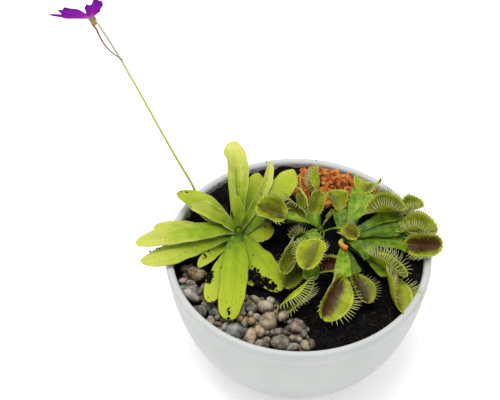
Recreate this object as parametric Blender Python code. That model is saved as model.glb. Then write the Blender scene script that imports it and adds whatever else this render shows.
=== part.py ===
"""A potted pair of carnivorous plants: a butterwort in flower and a Venus flytrap in one round bowl.

Metres, +Z up, origin at the middle of the bowl's base. The bowl is about 200 mm across.
Azimuths are in degrees, anticlockwise from +X seen from above. -Y is the front.
"""

import math
from collections import namedtuple

import bmesh
import bpy
import numpy as np
from mathutils import Euler, Vector

MM = 0.001
GAP = 0.3 * MM
SHARP_ANGLE = 50

# Bowl: one moulded shell with a rounded rim and a flat base
RIM_RADIUS = 100 * MM
BOWL_HEIGHT = 100 * MM
BASE_RADIUS = 50 * MM
BASE_CORNER = 3 * MM
SIDE_FULLNESS = 1.7
WALL = 6 * MM
FLOOR = 7 * MM
BOWL_SIDES = 36

# Soil: fills the bowl to a little under its rim
SOIL_LEVEL = 87 * MM
SOIL_BUMP = 1.2 * MM
SOIL_MOUND = 3.5 * MM
SOIL_RINGS = 6

# Crowns: the short stems that the leaves grow from
CROWN_FOOT = 80 * MM
CROWN_BASE = 92.5 * MM
TIER = 1.25 * MM
BUTTERWORT_PLACE = Vector((-45 * MM, 18 * MM, 0))
FLYTRAP_PLACES = (Vector((34.5 * MM, 12.5 * MM, 0)), Vector((17.5 * MM, 24 * MM, 0)))
BUTTERWORT_CROWN_RADIUS = 3.8 * MM
FLYTRAP_CROWN_RADIUS = 3.4 * MM
CROWN_SIDES = 16

BUTTERWORT_TAPER = 0.4
FLYTRAP_TAPER = 0.3

# Leaves: the blade's thickness, and the half-width that no blade goes under
LEAF_THICKNESS = 0.9 * MM
TRAP_THICKNESS = 0.8 * MM
LEAST_HALF_WIDTH = 0.9 * MM
ACROSS = (-1, -0.5, 0, 0.5, 1)

# Butterwort: the share of the length where a leaf is widest, and how much its edge turns up past the fold
WIDEST = 0.62
CUP_CURL = 0.6

# A flytrap's petiole ends in a square shoulder, then a narrow neck that carries the trap
NECK = 3.2 * MM
SHOULDER = 0.07
NECK_HALF_WIDTH = 0.8 * MM
PETIOLE_FOLD = 12

# A trap's lobe bends evenly by the curl from midrib to margin. The midrib bows back by a share of its length,
# and the teeth fan out at the trap's two ends, lean in over the mouth and stop clear of its middle
TRAP_STEPS = 8
LOBE_CURL = 50
MIDRIB_BOW = 0.10
TOOTH_FAN = 0.8
TOOTH_LEAN_IN = 0.15
TOOTH_CLEAR = 0.8 * MM

BUTTERWORT_GREEN = (0.42, 0.56, 0.03)
FLYTRAP_GREEN = (0.20, 0.40, 0.03)
OLD_LEAF = (0.50, 0.45, 0.18)
SOIL_BLACK = (0.010, 0.008, 0.006)
BOWL_WHITE = (0.66, 0.68, 0.66)
PETAL_PURPLE = (0.26, 0.02, 0.45)
CLAY_ORANGE = (0.58, 0.16, 0.05)
PEBBLE_GREY = (0.34, 0.30, 0.25)

# Butterwort leaves. The height is the tip's, over the crown's base. Bow raises the middle of the leaf,
# sway carries it to its left, roll turns the blade about its length and cup folds its two halves up
ButterwortLeaf = namedtuple(
    "ButterwortLeaf", "tier azimuth reach height width bow sway roll cup")
BUTTERWORT_LEAVES = (
    ButterwortLeaf(6, 98, 57, 47, 21, 7, 0, 0, 14),
    ButterwortLeaf(8, 92, 13, 32, 9, 1, 0, 0, 25),
    ButterwortLeaf(3, 74, 46, 24, 12, 4, 0, 10, 15),
    ButterwortLeaf(5, 58, 52, 33, 7, 2, -2, 25, 36),
    ButterwortLeaf(1, 43, 53, 19, 16, 7, -3, 0, -14),
    ButterwortLeaf(0, -14, 21, 5, 11, 1, 0, 0, 10),
    ButterwortLeaf(3, -57, 59, -1, 18, 4, 0, 0, 20),
    ButterwortLeaf(0, -76, 48, -1, 15, 2, 0, 0, 12),
    ButterwortLeaf(5, -97, 83, 8, 20, 8, 0, 0, -10),
    ButterwortLeaf(1, -112, 66, 8, 13, 4, 0, 0, 8),
    ButterwortLeaf(0, -138, 40, 7, 10, 1, 0, 0, 20),
    ButterwortLeaf(4, -154, 80, 12, 18, 7, 0, 0, -10),
    ButterwortLeaf(6, -165, 79, 18, 18, 10, 0, 0, -8),
    ButterwortLeaf(1, -180, 64, 11, 15, 3, 0, 0, 0),
    ButterwortLeaf(7, 162, 37, 25, 14, 3, 0, -10, 30),
    ButterwortLeaf(5, 151, 53, 18, 17, 6, 0, -22, -10),
    ButterwortLeaf(0, 143, 38, 4, 9, 1, 0, 0, 5),
)

# Flytrap leaves. The petiole runs from its crown to the trap's hinge end, which lies at the azimuth, reach
# and height given, and bows up and sways left on its way. The trap's midrib then has its own azimuth, pitch
# and length. Roll turns the mouth to the right of straight up, and opening is the angle between the lobes
FlytrapLeaf = namedtuple(
    "FlytrapLeaf",
    "name crown tier azimuth reach height width bow sway trap_azimuth pitch length lobe roll opening tooth")
FLYTRAP_LEAVES = (
    FlytrapLeaf("01", 0, 5, 46, 24, 18, 9, 3, 3, -4, 6, 24, 12, 21, 60, 8),
    FlytrapLeaf("02", 0, 4, 25, 47, 16, 12, 3, 0, 18, 20, 20, 9, 15, 60, 7),
    FlytrapLeaf("03", 0, 3, 6, 41, 13, 14, 3, 0, -17, 12, 29, 12, 14, 52, 8),
    FlytrapLeaf("04", 0, 1, -19, 47, 5, 12, 4, 0, -14, 15, 26, 10, 20, 66, 8),
    FlytrapLeaf("05", 0, 4, -46, 27, 13, 10, 3, 0, -43, 3, 28, 10, -32, 45, 8),
    FlytrapLeaf("06", 0, 0, -53, 47, 5, 10, 1, 2, -84, 8, 34, 12, -33, 55, 8),
    FlytrapLeaf("07", 0, 3, -98, 45, 13, 12, 6, 0, -117, -8, 33, 15, -56, 90, 8),
    FlytrapLeaf("08", 0, 1, -78, 35, 3, 10, 1, 0, -76, -3, 22, 12, -25, 80, 5),
    FlytrapLeaf("09", 0, 1, 74, 42, 14, 15, 3, 0, 73, 44, 14, 7, 3, 75, 3),
    FlytrapLeaf("10", 0, 3, 105, 27, 10, 12, 2, 1, 68, 38, 16, 8, 25, 70, 2),
    FlytrapLeaf("11", 1, 1, -12, 13, 15, 3, 2, 0, -37, 6, 12, 7, -40, 70, 5),
    FlytrapLeaf("12", 1, 2, -100, 54, 8, 12, 5, 0, -125, 2, 34, 11, -66, 30, 8),
    FlytrapLeaf("13", 1, 4, -114, 31, 19, 9, 4, -6, -38, -6, 21, 12, 60, 62, 6),
    FlytrapLeaf("14", 1, 3, -132, 29, 11, 8, 3, 0, -121, -2, 25, 9, 50, 35, 7),
    FlytrapLeaf("15", 1, 0, -113, 42, 5, 9, 3, 0, -124, 0, 19, 9, 4, 60, 6),
    FlytrapLeaf("16", 1, 5, -168, 25, 20, 8, 4, 2, 160, 10, 27, 13, -5, 90, 6),
    FlytrapLeaf("17", 1, 2, 160, 14, 9, 6, 2, 1, 126, 12, 18, 7, -50, 35, 6),
    FlytrapLeaf("18", 1, 3, 112, 15, 14, 11, 2, 1, 76, 27, 16, 8, 41, 60, 4),
    FlytrapLeaf("19", 1, 0, 126, 22, 8, 5, 2, 0, 104, 16, 12, 5, 32, 60, 3),
    FlytrapLeaf("20", 1, 0, 94, 33, 10, 6, 3, 0, 87, 38, 18, 7, -46, 40, 5),
    FlytrapLeaf("21", 1, 5, 30, 6, 11, 2, 1, 0, 20, 60, 9, 3, 0, 25, 2),
    FlytrapLeaf("22", 1, 1, -158, 13, 4, 2, 1, 0, -150, 8, 12, 6, 10, 50, 5),
)

# Dried strips of earlier leaves. Each starts on the soil, and its height is the tip's over the crown's base
Strip = namedtuple("Strip", "name crown azimuth root reach height width bow")
DRY_STRIPS = (
    Strip("dry_strip_left", 1, 137, 34, 52, 14, 2.2, 3),
    Strip("dry_strip_right", 1, 108, 28, 47, 17, 2.4, 2),
)
STRIP_THICKNESS = 0.7 * MM
STRIP_SEAT = 0.9 * MM
STRIP_FOLD = 0.3


def material(name, colour, roughness):
    """A plain coat of one colour."""
    made = bpy.data.materials.new(name)
    made.use_nodes = True
    shader = made.node_tree.nodes["Principled BSDF"]
    shader.inputs["Base Color"].default_value = (*colour, 1)
    shader.inputs["Roughness"].default_value = roughness
    shader.inputs["Metallic"].default_value = 0
    made.diffuse_color = (*colour, 1)
    return made


def add_object(name, vertices, faces, coat):
    """Makes one mesh object, with its faces pointing out."""
    mesh = bpy.data.meshes.new(name)
    mesh.from_pydata([tuple(v) for v in vertices], [], [tuple(f) for f in faces])
    work = bmesh.new()
    work.from_mesh(mesh)
    bmesh.ops.recalc_face_normals(work, faces=work.faces)
    if work.calc_volume(signed=True) < 0:
        bmesh.ops.reverse_faces(work, faces=work.faces)
    work.to_mesh(mesh)
    work.free()
    mesh.materials.append(coat)
    mesh.shade_smooth()
    mesh.set_sharp_from_angle(angle=math.radians(SHARP_ANGLE))
    made = bpy.data.objects.new(name, mesh)
    bpy.context.collection.objects.link(made)
    return made


def apply_modifiers(thing):
    """Keeps the evaluated mesh and drops the modifiers."""
    ready = thing.evaluated_get(bpy.context.evaluated_depsgraph_get())
    mesh = bpy.data.meshes.new_from_object(ready)
    thing.modifiers.clear()
    thing.data = mesh


def cut_holes(thing, cutters):
    """Takes the cutters' shapes out of a solid and removes the cutters."""
    for cutter in cutters:
        cut = thing.modifiers.new("hole", "BOOLEAN")
        cut.operation = "DIFFERENCE"
        cut.object = cutter
    bpy.context.view_layer.update()
    apply_modifiers(thing)
    for cutter in cutters:
        bpy.data.objects.remove(cutter)


def fuse(name, pieces):
    """Joins overlapping pieces in one solid by one union on a collection."""
    group = bpy.data.collections.new(name + "_pieces")
    bpy.context.scene.collection.children.link(group)
    body = pieces[0]
    for piece in pieces[1:]:
        bpy.context.collection.objects.unlink(piece)
        group.objects.link(piece)
    union = body.modifiers.new("union", "BOOLEAN")
    union.operation = "UNION"
    union.operand_type = "COLLECTION"
    union.collection = group
    bpy.context.view_layer.update()
    apply_modifiers(body)
    for piece in list(group.objects):
        bpy.data.objects.remove(piece)
    bpy.data.collections.remove(group)
    body.name = name
    return body


def ring_faces(first, second, count):
    """Quads between two rings of vertices, which start at the two numbers given."""
    return [(first + i, first + (i + 1) % count, second + (i + 1) % count, second + i) for i in range(count)]


def turned(name, profile, sides, coat, top_height=None):
    """A profile of (radius, height) points, from axis to axis, turned about Z.

    top_height, where given, adds its height at (x, y) to the points flagged in the profile.
    """
    vertices = [Vector((0, 0, profile[0][1]))]
    starts = []
    for radius, height, *lift in profile[1:-1]:
        starts.append(len(vertices))
        for i in range(sides):
            angle = 2 * math.pi * i / sides
            x = radius * math.cos(angle)
            y = radius * math.sin(angle)
            rise = top_height(x, y) if lift and lift[0] else 0
            vertices.append(Vector((x, y, height + rise)))
    last = len(vertices)
    top_rise = top_height(0, 0) if top_height else 0
    vertices.append(Vector((0, 0, profile[-1][1] + top_rise)))
    faces = [(0, starts[0] + (i + 1) % sides, starts[0] + i) for i in range(sides)]
    for first, second in zip(starts, starts[1:]):
        faces += ring_faces(first, second, sides)
    faces += [(starts[-1] + i, starts[-1] + (i + 1) % sides, last) for i in range(sides)]
    return add_object(name, vertices, faces, coat)


def bowl_radius(height):
    """The bowl's outer radius at a height: a full curve from the upright rim in to the base."""
    drop = min(max((BOWL_HEIGHT - height) / BOWL_HEIGHT, 0), 1)
    return BASE_RADIUS + (RIM_RADIUS - BASE_RADIUS) * math.sqrt(1 - drop ** SIDE_FULLNESS)


def inner_radius(height):
    """The bowl's inner radius: the outer one less a wall that is measured across the slope."""
    step = 1 * MM
    slope = (bowl_radius(height + step) - bowl_radius(height - step)) / (2 * step)
    lean = min(math.hypot(1, slope), 1.9)
    return bowl_radius(height) - WALL * lean


def make_bowl(coat):
    """The bowl's shell: flat base, outer side, rounded rim, inner side and floor."""
    outer = [1, 4, 9, 16, 26, 38, 52, 68, 84, 95]
    profile = [(0, 0), (BASE_RADIUS - BASE_CORNER, 0), (BASE_RADIUS, 0.35 * BASE_CORNER)]
    profile += [(bowl_radius(h * MM), h * MM) for h in outer[1:]]
    middle = RIM_RADIUS - WALL / 2
    rim_steps = 4
    for k in range(rim_steps + 1):
        angle = math.pi * k / rim_steps
        radius = middle + WALL / 2 * math.cos(angle)
        profile.append((radius, BOWL_HEIGHT - WALL / 2 + WALL / 2 * math.sin(angle)))
    inner = [80, 60, 42, 26, 13]
    profile += [(inner_radius(h * MM), h * MM) for h in inner]
    profile += [(inner_radius(13 * MM) * 0.9, FLOOR), (0, FLOOR)]
    return turned("bowl", profile, BOWL_SIDES, coat)


def soil_rise(x, y):
    """The soil's top: gentle waves, and a mound under each plant that dies away to the wall."""
    waves = math.sin(x * 95 + 1.3) * math.cos(y * 80 - 0.4) + 0.6 * math.sin(x * 210 - y * 170)
    edge = max(0, 1 - (math.hypot(x, y) / (88 * MM)) ** 6)
    mound = 0
    for place in (BUTTERWORT_PLACE, *FLYTRAP_PLACES):
        distance = math.hypot(x - place.x, y - place.y)
        mound = max(mound, math.exp(-((distance / (26 * MM)) ** 2)))
    return edge * (SOIL_BUMP * 0.5 * waves * (1 - mound) + SOIL_MOUND * mound)


def make_soil(coat):
    """The soil's body, just inside the bowl, with its uneven top and a hole for each crown and the stalk."""
    levels = [13, 26, 42, 60, 80]
    low = FLOOR + GAP
    profile = [(0, low), (inner_radius(13 * MM) * 0.9 - 2 * GAP, low)]
    profile += [(inner_radius(h * MM) - 2.2 * GAP, h * MM) for h in levels]
    rim = inner_radius(SOIL_LEVEL) - 2.2 * GAP
    for k in range(SOIL_RINGS):
        profile.append((rim * (1 - (k / SOIL_RINGS) ** 1.15), SOIL_LEVEL, True))
    profile.append((0, SOIL_LEVEL))
    soil = turned("soil", profile, BOWL_SIDES, coat, soil_rise)
    cutters = [crown_solid("cutter", place, radius + GAP, CROWN_FOOT - GAP, CROWN_BASE + 20 * MM, coat,
                           CROWN_SIDES, 0)
               for place, radius in crown_places()]
    stalk_place = BUTTERWORT_PLACE + Vector((STALK_LINE[0][0], STALK_LINE[0][1], 0)) * MM
    stalk_place.z = 0
    cutters.append(crown_solid("cutter", stalk_place, STALK_ROOT_RADIUS + GAP, STALK_FOOT - GAP,
                               CROWN_BASE + 20 * MM, coat, 12, 0))
    cut_holes(soil, cutters)
    return soil


def crown_places():
    """Each crown's place and radius."""
    return ((BUTTERWORT_PLACE, BUTTERWORT_CROWN_RADIUS),
            (FLYTRAP_PLACES[0], FLYTRAP_CROWN_RADIUS),
            (FLYTRAP_PLACES[1], FLYTRAP_CROWN_RADIUS))


def crown_solid(name, place, radius, foot, top, coat, sides, taper):
    """A round stub that stands at a place and narrows a little to its top."""
    vertices = []
    for height, scale in ((foot, 1), (CROWN_BASE, 1), (top, 1 - taper)):
        for i in range(sides):
            angle = 2 * math.pi * i / sides
            reach = radius * scale
            vertices.append(place + Vector((reach * math.cos(angle), reach * math.sin(angle), height)))
    faces = [tuple(range(sides))[::-1], tuple(range(2 * sides, 3 * sides))]
    faces += ring_faces(0, sides, sides) + ring_faces(sides, 2 * sides, sides)
    return add_object(name, vertices, faces, coat)


def crown_reach(radius, height, top, taper):
    """The radius of a crown at a height."""
    share = min(max((height - CROWN_BASE) / (top - CROWN_BASE), 0), 1)
    return radius * (1 - taper * share)


def unit(rows):
    """Rows of vectors, each scaled to length 1."""
    return rows / np.linalg.norm(rows, axis=-1, keepdims=True)


def closed_sheet(middle, normal, thickness, teeth=None):
    """A solid from a grid of points along the middle of a blade, their normals and one thickness.

    Both faces carry the same triangles. teeth maps a margin step (row, side) to the point of its tooth.
    """
    rows, columns = middle.shape[:2]
    half = thickness / 2
    vertices = list((middle + normal * half).reshape(-1, 3)) + list((middle - normal * half).reshape(-1, 3))
    under = rows * columns

    def spot(row, column):
        return row * columns + column

    faces = []
    for row in range(rows - 1):
        for column in range(columns - 1):
            a, b = spot(row, column), spot(row + 1, column)
            c, d = spot(row + 1, column + 1), spot(row, column + 1)
            if column < columns // 2:
                halves = ((a, b, c), (a, c, d))
            else:
                halves = ((a, b, d), (b, c, d))
            for one, two, three in halves:
                faces.append((one, two, three))
                faces.append((under + three, under + two, under + one))
    edges = []
    for row in range(rows - 1):
        edges.append((spot(row, 0), spot(row + 1, 0), (row, 0)))
        edges.append((spot(row + 1, columns - 1), spot(row, columns - 1), (row, 1)))
    for column in range(columns - 1):
        edges.append((spot(0, column + 1), spot(0, column), None))
        edges.append((spot(rows - 1, column), spot(rows - 1, column + 1), None))
    for start, end, key in edges:
        ring = (start, under + start, under + end, end)
        if teeth and key in teeth:
            point = len(vertices)
            vertices.append(teeth[key])
            faces += [(ring[i], ring[(i + 1) % 4], point) for i in range(4)]
        else:
            faces += [(ring[0], ring[1], ring[2]), (ring[0], ring[2], ring[3])]
    return vertices, faces


def arc_section(distance, fold, curl, width):
    """Where a point lies across a blade whose half starts at an angle and curls evenly up to its edge.

    Returns the offsets to the side and up, and the blade's angle there.
    """
    bend = curl / width
    end = fold + bend * distance
    if abs(bend) < 1e-6:
        return distance * math.cos(fold), distance * math.sin(fold), end
    return (math.sin(end) - math.sin(fold)) / bend, (math.cos(fold) - math.cos(end)) / bend, end


def blade_grid(line, ups, widths, folds, curls, shares):
    """Points across each station of a line, and their normals. shares run from -1 at the left margin to 1."""
    along = unit(np.gradient(line, axis=0))
    side = unit(np.cross(along, ups))
    up = np.cross(side, along)
    grid = np.zeros((len(line), len(shares), 3))
    normal = np.zeros_like(grid)
    for row in range(len(line)):
        for column, share in enumerate(shares):
            out, rise, angle = arc_section(abs(share) * widths[row], folds[row], curls[row], widths[row])
            grid[row, column] = line[row] + side[row] * out * np.sign(share) + up[row] * rise
            normal[row, column] = up[row] * math.cos(angle) - side[row] * math.sin(angle) * np.sign(share)
    return grid, normal, side


def bowed_line(root, tip, bow, sway, steps):
    """A smooth line from root to tip whose middle is raised by the bow and carried left by the sway."""
    root = np.array(root)
    tip = np.array(tip)
    run = unit(tip - root)
    left = unit(np.cross((0, 0, 1), run))
    control = (root + tip) / 2 + 2 * (np.array((0, 0, bow)) + left * sway)
    t = np.array(steps)[:, None]
    return (1 - t) ** 2 * root + 2 * t * (1 - t) * control + t ** 2 * tip


def rolled_ups(line, roll):
    """For each station, the upward direction across the line, turned about it to the right by the roll."""
    along = unit(np.gradient(line, axis=0))
    up = unit(np.array((0, 0, 1)) - along * along[:, 2:3])
    side = np.cross(along, up)
    angle = math.radians(roll)
    return up * math.cos(angle) + side * math.sin(angle)


def polar_point(place, azimuth, reach, height):
    """The point at an azimuth, reach and height from a place."""
    angle = math.radians(azimuth)
    return Vector((place.x + reach * math.cos(angle), place.y + reach * math.sin(angle), height))


def butterwort_width(share):
    """A strap leaf's width along its length: narrow at the root, widest past the middle, round at the tip."""
    root = 0.15 + 0.85 * math.sin(min(share / WIDEST, 1) * math.pi / 2) ** 1.3
    tip = math.sqrt(max(1 - (max(share - WIDEST, 0) / (1 - WIDEST)) ** 2, 0))
    return max(root * (0.12 + 0.88 * tip), 0.12)


def make_butterwort_leaf(name, leaf, top, coat):
    """One fleshy strap leaf, as one closed blade."""
    steps = [0, 0.12, 0.28, 0.46, 0.64, 0.80, 0.91, 0.98, 1.0]
    root_height = CROWN_BASE + (leaf.tier + 0.5) * TIER
    start = crown_reach(BUTTERWORT_CROWN_RADIUS, root_height, top, BUTTERWORT_TAPER)
    start += GAP + LEAF_THICKNESS / 2
    root = polar_point(BUTTERWORT_PLACE, leaf.azimuth, start, root_height)
    tip = polar_point(BUTTERWORT_PLACE, leaf.azimuth, leaf.reach * MM, CROWN_BASE + (leaf.height + 1.5) * MM)
    line = bowed_line(root, tip, leaf.bow * MM, leaf.sway * MM, steps)
    ups = rolled_ups(line, 0)
    turned_ups = rolled_ups(line, leaf.roll)
    ease = np.array([min(s / 0.4, 1) for s in steps])[:, None]
    ups = unit(ups * (1 - ease) + turned_ups * ease)
    widths = [max(butterwort_width(s) * leaf.width / 2 * MM, LEAST_HALF_WIDTH) for s in steps]
    fold = math.radians(leaf.cup)
    folds = [fold * min(s / 0.3, 1) for s in steps]
    curls = [fold * CUP_CURL] * len(steps)
    grid, normal, _ = blade_grid(line, ups, widths, folds, curls, ACROSS)
    vertices, faces = closed_sheet(grid, normal, LEAF_THICKNESS)
    return add_object(name, vertices, faces, coat)


def petiole_width(share):
    """A winged petiole's width up to its square shoulder: a slow wedge."""
    return 0.14 + 0.86 * share ** 1.2


def trap_midrib(leaf, hinge):
    """The trap's midrib from its hinge end, the shares of its length, its run and its mouth's direction."""
    azimuth = math.radians(leaf.trap_azimuth)
    pitch = math.radians(leaf.pitch)
    level = math.cos(pitch)
    run = np.array((math.cos(azimuth) * level, math.sin(azimuth) * level, math.sin(pitch)))
    mouth = rolled_ups(np.array([np.zeros(3), run, 2 * run]), leaf.roll)[0]
    v = (1 - np.cos(np.pi * np.arange(TRAP_STEPS + 1) / TRAP_STEPS)) / 2
    length = leaf.length * MM
    back = MIDRIB_BOW * length * 4 * v * (1 - v)
    return np.array(hinge) + run * (v[:, None] * length) - mouth * back[:, None], v, run, mouth


def trap_teeth(leaf, grid, side, line, first, v, run):
    """The point of each tooth, by margin step: out along the lobe, fanned at the ends and leant in."""
    teeth = {}
    for k in range(1, TRAP_STEPS - 1):
        row = first + k
        middle = (v[k] + v[k + 1]) / 2
        for which, column, inward in ((0, 0, 1), (1, -1, -1)):
            edge = (grid[row, column] + grid[row + 1, column]) / 2
            inner = (grid[row, column + inward] + grid[row + 1, column + inward]) / 2
            sideways = -side[row] * inward
            fan = run * (2 * middle - 1) * TOOTH_FAN
            lean = unit(unit(edge - inner) + fan - sideways * TOOTH_LEAN_IN)
            tip = edge + lean * leaf.tooth * MM * math.sin(math.pi * middle) ** 0.4
            past = float((tip - line[row]) @ sideways) - TOOTH_CLEAR
            teeth[(row, which)] = tip - sideways * min(past, 0)
    return teeth


def make_flytrap_leaf(leaf, tops, coat):
    """One leaf of the flytrap: a winged petiole, a narrow neck and a two-lobed trap with its teeth."""
    place = FLYTRAP_PLACES[leaf.crown]
    root_height = CROWN_BASE + (leaf.tier + 0.5) * TIER
    start = crown_reach(FLYTRAP_CROWN_RADIUS, root_height, tops[leaf.crown], FLYTRAP_TAPER)
    start += GAP + LEAF_THICKNESS / 2
    root = polar_point(place, leaf.azimuth, start, root_height)
    hinge = polar_point(place, leaf.azimuth, leaf.reach * MM, CROWN_BASE + (leaf.height + 1.5) * MM)
    neck = NECK / (hinge - root).length
    shoulder = 1 - neck - SHOULDER
    petiole_steps = [0, shoulder * 0.35, shoulder * 0.7, shoulder, 1 - neck]
    petiole = bowed_line(root, hinge, leaf.bow * MM, leaf.sway * MM, petiole_steps)
    midrib, v, run, mouth = trap_midrib(leaf, hinge)

    line = np.vstack([petiole, midrib])
    ups = np.vstack([rolled_ups(petiole, 0), np.tile(mouth, (len(v), 1))])
    blade = [petiole_width(s / shoulder) * leaf.width / 2 * MM for s in petiole_steps[:-1]]
    widths = [max(w, NECK_HALF_WIDTH) for w in blade] + [NECK_HALF_WIDTH]
    full = (1 - np.abs(2 * v - 1) ** 2.2) ** 0.62
    widths += list(np.maximum(full * leaf.lobe * MM, LEAST_HALF_WIDTH))
    curl = math.radians(LOBE_CURL)
    chord = math.radians(90 - leaf.opening / 2)
    folds = [math.radians(PETIOLE_FOLD)] * len(petiole) + list((chord - curl / 2) * full)
    curls = [0.0] * len(petiole) + list(curl * full)
    grid, normal, side = blade_grid(line, ups, widths, folds, curls, ACROSS)
    teeth = trap_teeth(leaf, grid, side, line, len(petiole), v, run)
    vertices, faces = closed_sheet(grid, normal, TRAP_THICKNESS, teeth)
    return add_object("flytrap_leaf_" + leaf.name, vertices, faces, coat)


def make_dry_strip(strip, coat):
    """A thin dried leaf that rises from the soil beside its crown."""
    place = FLYTRAP_PLACES[strip.crown]
    root = polar_point(place, strip.azimuth, strip.root * MM, 0)
    root.z = SOIL_LEVEL + soil_rise(root.x, root.y) + STRIP_SEAT
    tip = polar_point(place, strip.azimuth, strip.reach * MM, CROWN_BASE + strip.height * MM)
    steps = [0, 0.2, 0.4, 0.6, 0.8, 1]
    line = bowed_line(root, tip, strip.bow * MM, 2 * MM, steps)
    widths = [strip.width / 2 * MM * w for w in (0.7, 1, 1, 0.9, 0.8, 0.5)]
    folds = [STRIP_FOLD] * len(steps)
    grid, normal, _ = blade_grid(line, rolled_ups(line, 0), widths, folds, [0.0] * len(steps), (-1, 0, 1))
    vertices, faces = closed_sheet(grid, normal, STRIP_THICKNESS)
    return add_object(strip.name, vertices, faces, coat)


# Flower stalk: its line from the crown, with the height over the crown's base
STALK_ROOT_RADIUS = 0.95 * MM
STALK_TIP_RADIUS = 0.6 * MM
STALK_LINE = ((-3.6, 5.8, -8), (-3.7, 6, -2), (-6, 10, 4), (-13, 18, 7), (-23, 26.5, 9), (-30.5, 30, 18),
              (-34.5, 29.5, 32), (-44, 27.5, 58), (-56, 26, 90), (-70, 27, 124), (-84, 27, 158),
              (-96, 25, 187))
STALK_FOOT = CROWN_BASE + STALK_LINE[0][2] * MM
STALK_SIDES = 6
STALK_STEPS = 20


def smooth_line(points, steps):
    """A curve through the points, by Catmull-Rom pieces."""
    points = [2 * points[0] - points[1], *points, 2 * points[-1] - points[-2]]
    pieces = len(points) - 3
    line = []
    for k in range(steps + 1):
        place = min(k * pieces / steps, pieces - 1e-9)
        i = int(place)
        t = place - i
        a, b, c, d = points[i:i + 4]
        line.append(0.5 * (2 * b + (c - a) * t + (2 * a - 5 * b + 4 * c - d) * t ** 2
                           + (3 * b - 3 * c + d - a) * t ** 3))
    return np.array(line)


def tube(line, radii, sides):
    """Rings round a line, square to it, with no twist."""
    along = unit(np.gradient(line, axis=0))
    first = unit(np.cross(along, (0.3, 0.9, 0.1)))
    second = np.cross(along, first)
    angles = np.arange(sides) * 2 * math.pi / sides
    rings = (line[:, None] + radii[:, None, None]
             * (np.cos(angles)[:, None] * first[:, None] + np.sin(angles)[:, None] * second[:, None]))
    return rings


def tube_solid(name, line, radii, sides, coat):
    """A closed tube with flat ends."""
    rings = tube(line, radii, sides)
    vertices = list(rings.reshape(-1, 3))
    faces = [tuple(range(sides))[::-1], tuple(range(len(vertices) - sides, len(vertices)))]
    for k in range(len(line) - 1):
        faces += ring_faces(k * sides, (k + 1) * sides, sides)
    return add_object(name, vertices, faces, coat)


def stalk_line():
    """The stalk's line in world coordinates."""
    base = np.array(BUTTERWORT_PLACE) + np.array((0, 0, CROWN_BASE))
    return smooth_line([base + np.array(p) * MM for p in STALK_LINE], STALK_STEPS)


def make_stalk(coat):
    """The tall flower stalk."""
    line = stalk_line()
    share = np.linspace(0, 1, len(line))
    radii = STALK_ROOT_RADIUS + (STALK_TIP_RADIUS - STALK_ROOT_RADIUS) * share
    return tube_solid("flower_stalk", line, radii, STALK_SIDES, coat)


# Flower: a green calyx on the stalk's end, and a corolla of five waved lobes with a long thin spur
CALYX_LENGTH = 5 * MM
CALYX_RADIUS = 2.0 * MM
THROAT_RADIUS = 1.9 * MM
SPUR_RADIUS = 0.5 * MM
SPUR_RUN = ((6, 4.2), (16, 4.6), (27, 3.6), (38, 1.7))
FACE = Vector((-0.50, 0.62, 0.60)).normalized()
LIP = Vector((-0.87, -0.30, -0.40))
# Each lobe: its turn from the lip's middle, its length and how wide it is
LOBES = ((0, 24, 1.0), (58, 20, 0.9), (-58, 20, 0.9), (128, 19, 0.95), (-128, 19, 0.95))
COROLLA_SIDES = 32


def flower_centre():
    """Where the corolla's throat sits: just past the end of the stalk and its calyx."""
    return Vector(stalk_line()[-1]) + FACE * (CALYX_LENGTH + 4 * GAP)


def make_calyx(coat):
    """The small green cup behind the petals."""
    end = np.array(stalk_line()[-1]) + np.array(FACE) * 3 * GAP
    axis = np.array(FACE)
    line = np.array([end + axis * CALYX_LENGTH * s for s in (0, 0.25, 0.6, 0.85)])
    radii = CALYX_RADIUS * np.array((0.45, 0.85, 1.0, 0.8))
    return tube_solid("flower_calyx", line, radii, 10, coat)


def lobe_reach(angle):
    """How far the corolla reaches at a turn about its axis: five rounded lobes with waved edges."""
    reach = 0
    for turn, length, width in LOBES:
        away = (angle - math.radians(turn) + math.pi) % (2 * math.pi) - math.pi
        bump = math.cos(min(abs(away) / (0.62 * width), 1) * math.pi / 2) ** 0.6
        reach = max(reach, (7 + (length - 7) * bump) * MM)
    return reach * (1 + 0.05 * math.sin(13 * angle))


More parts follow.
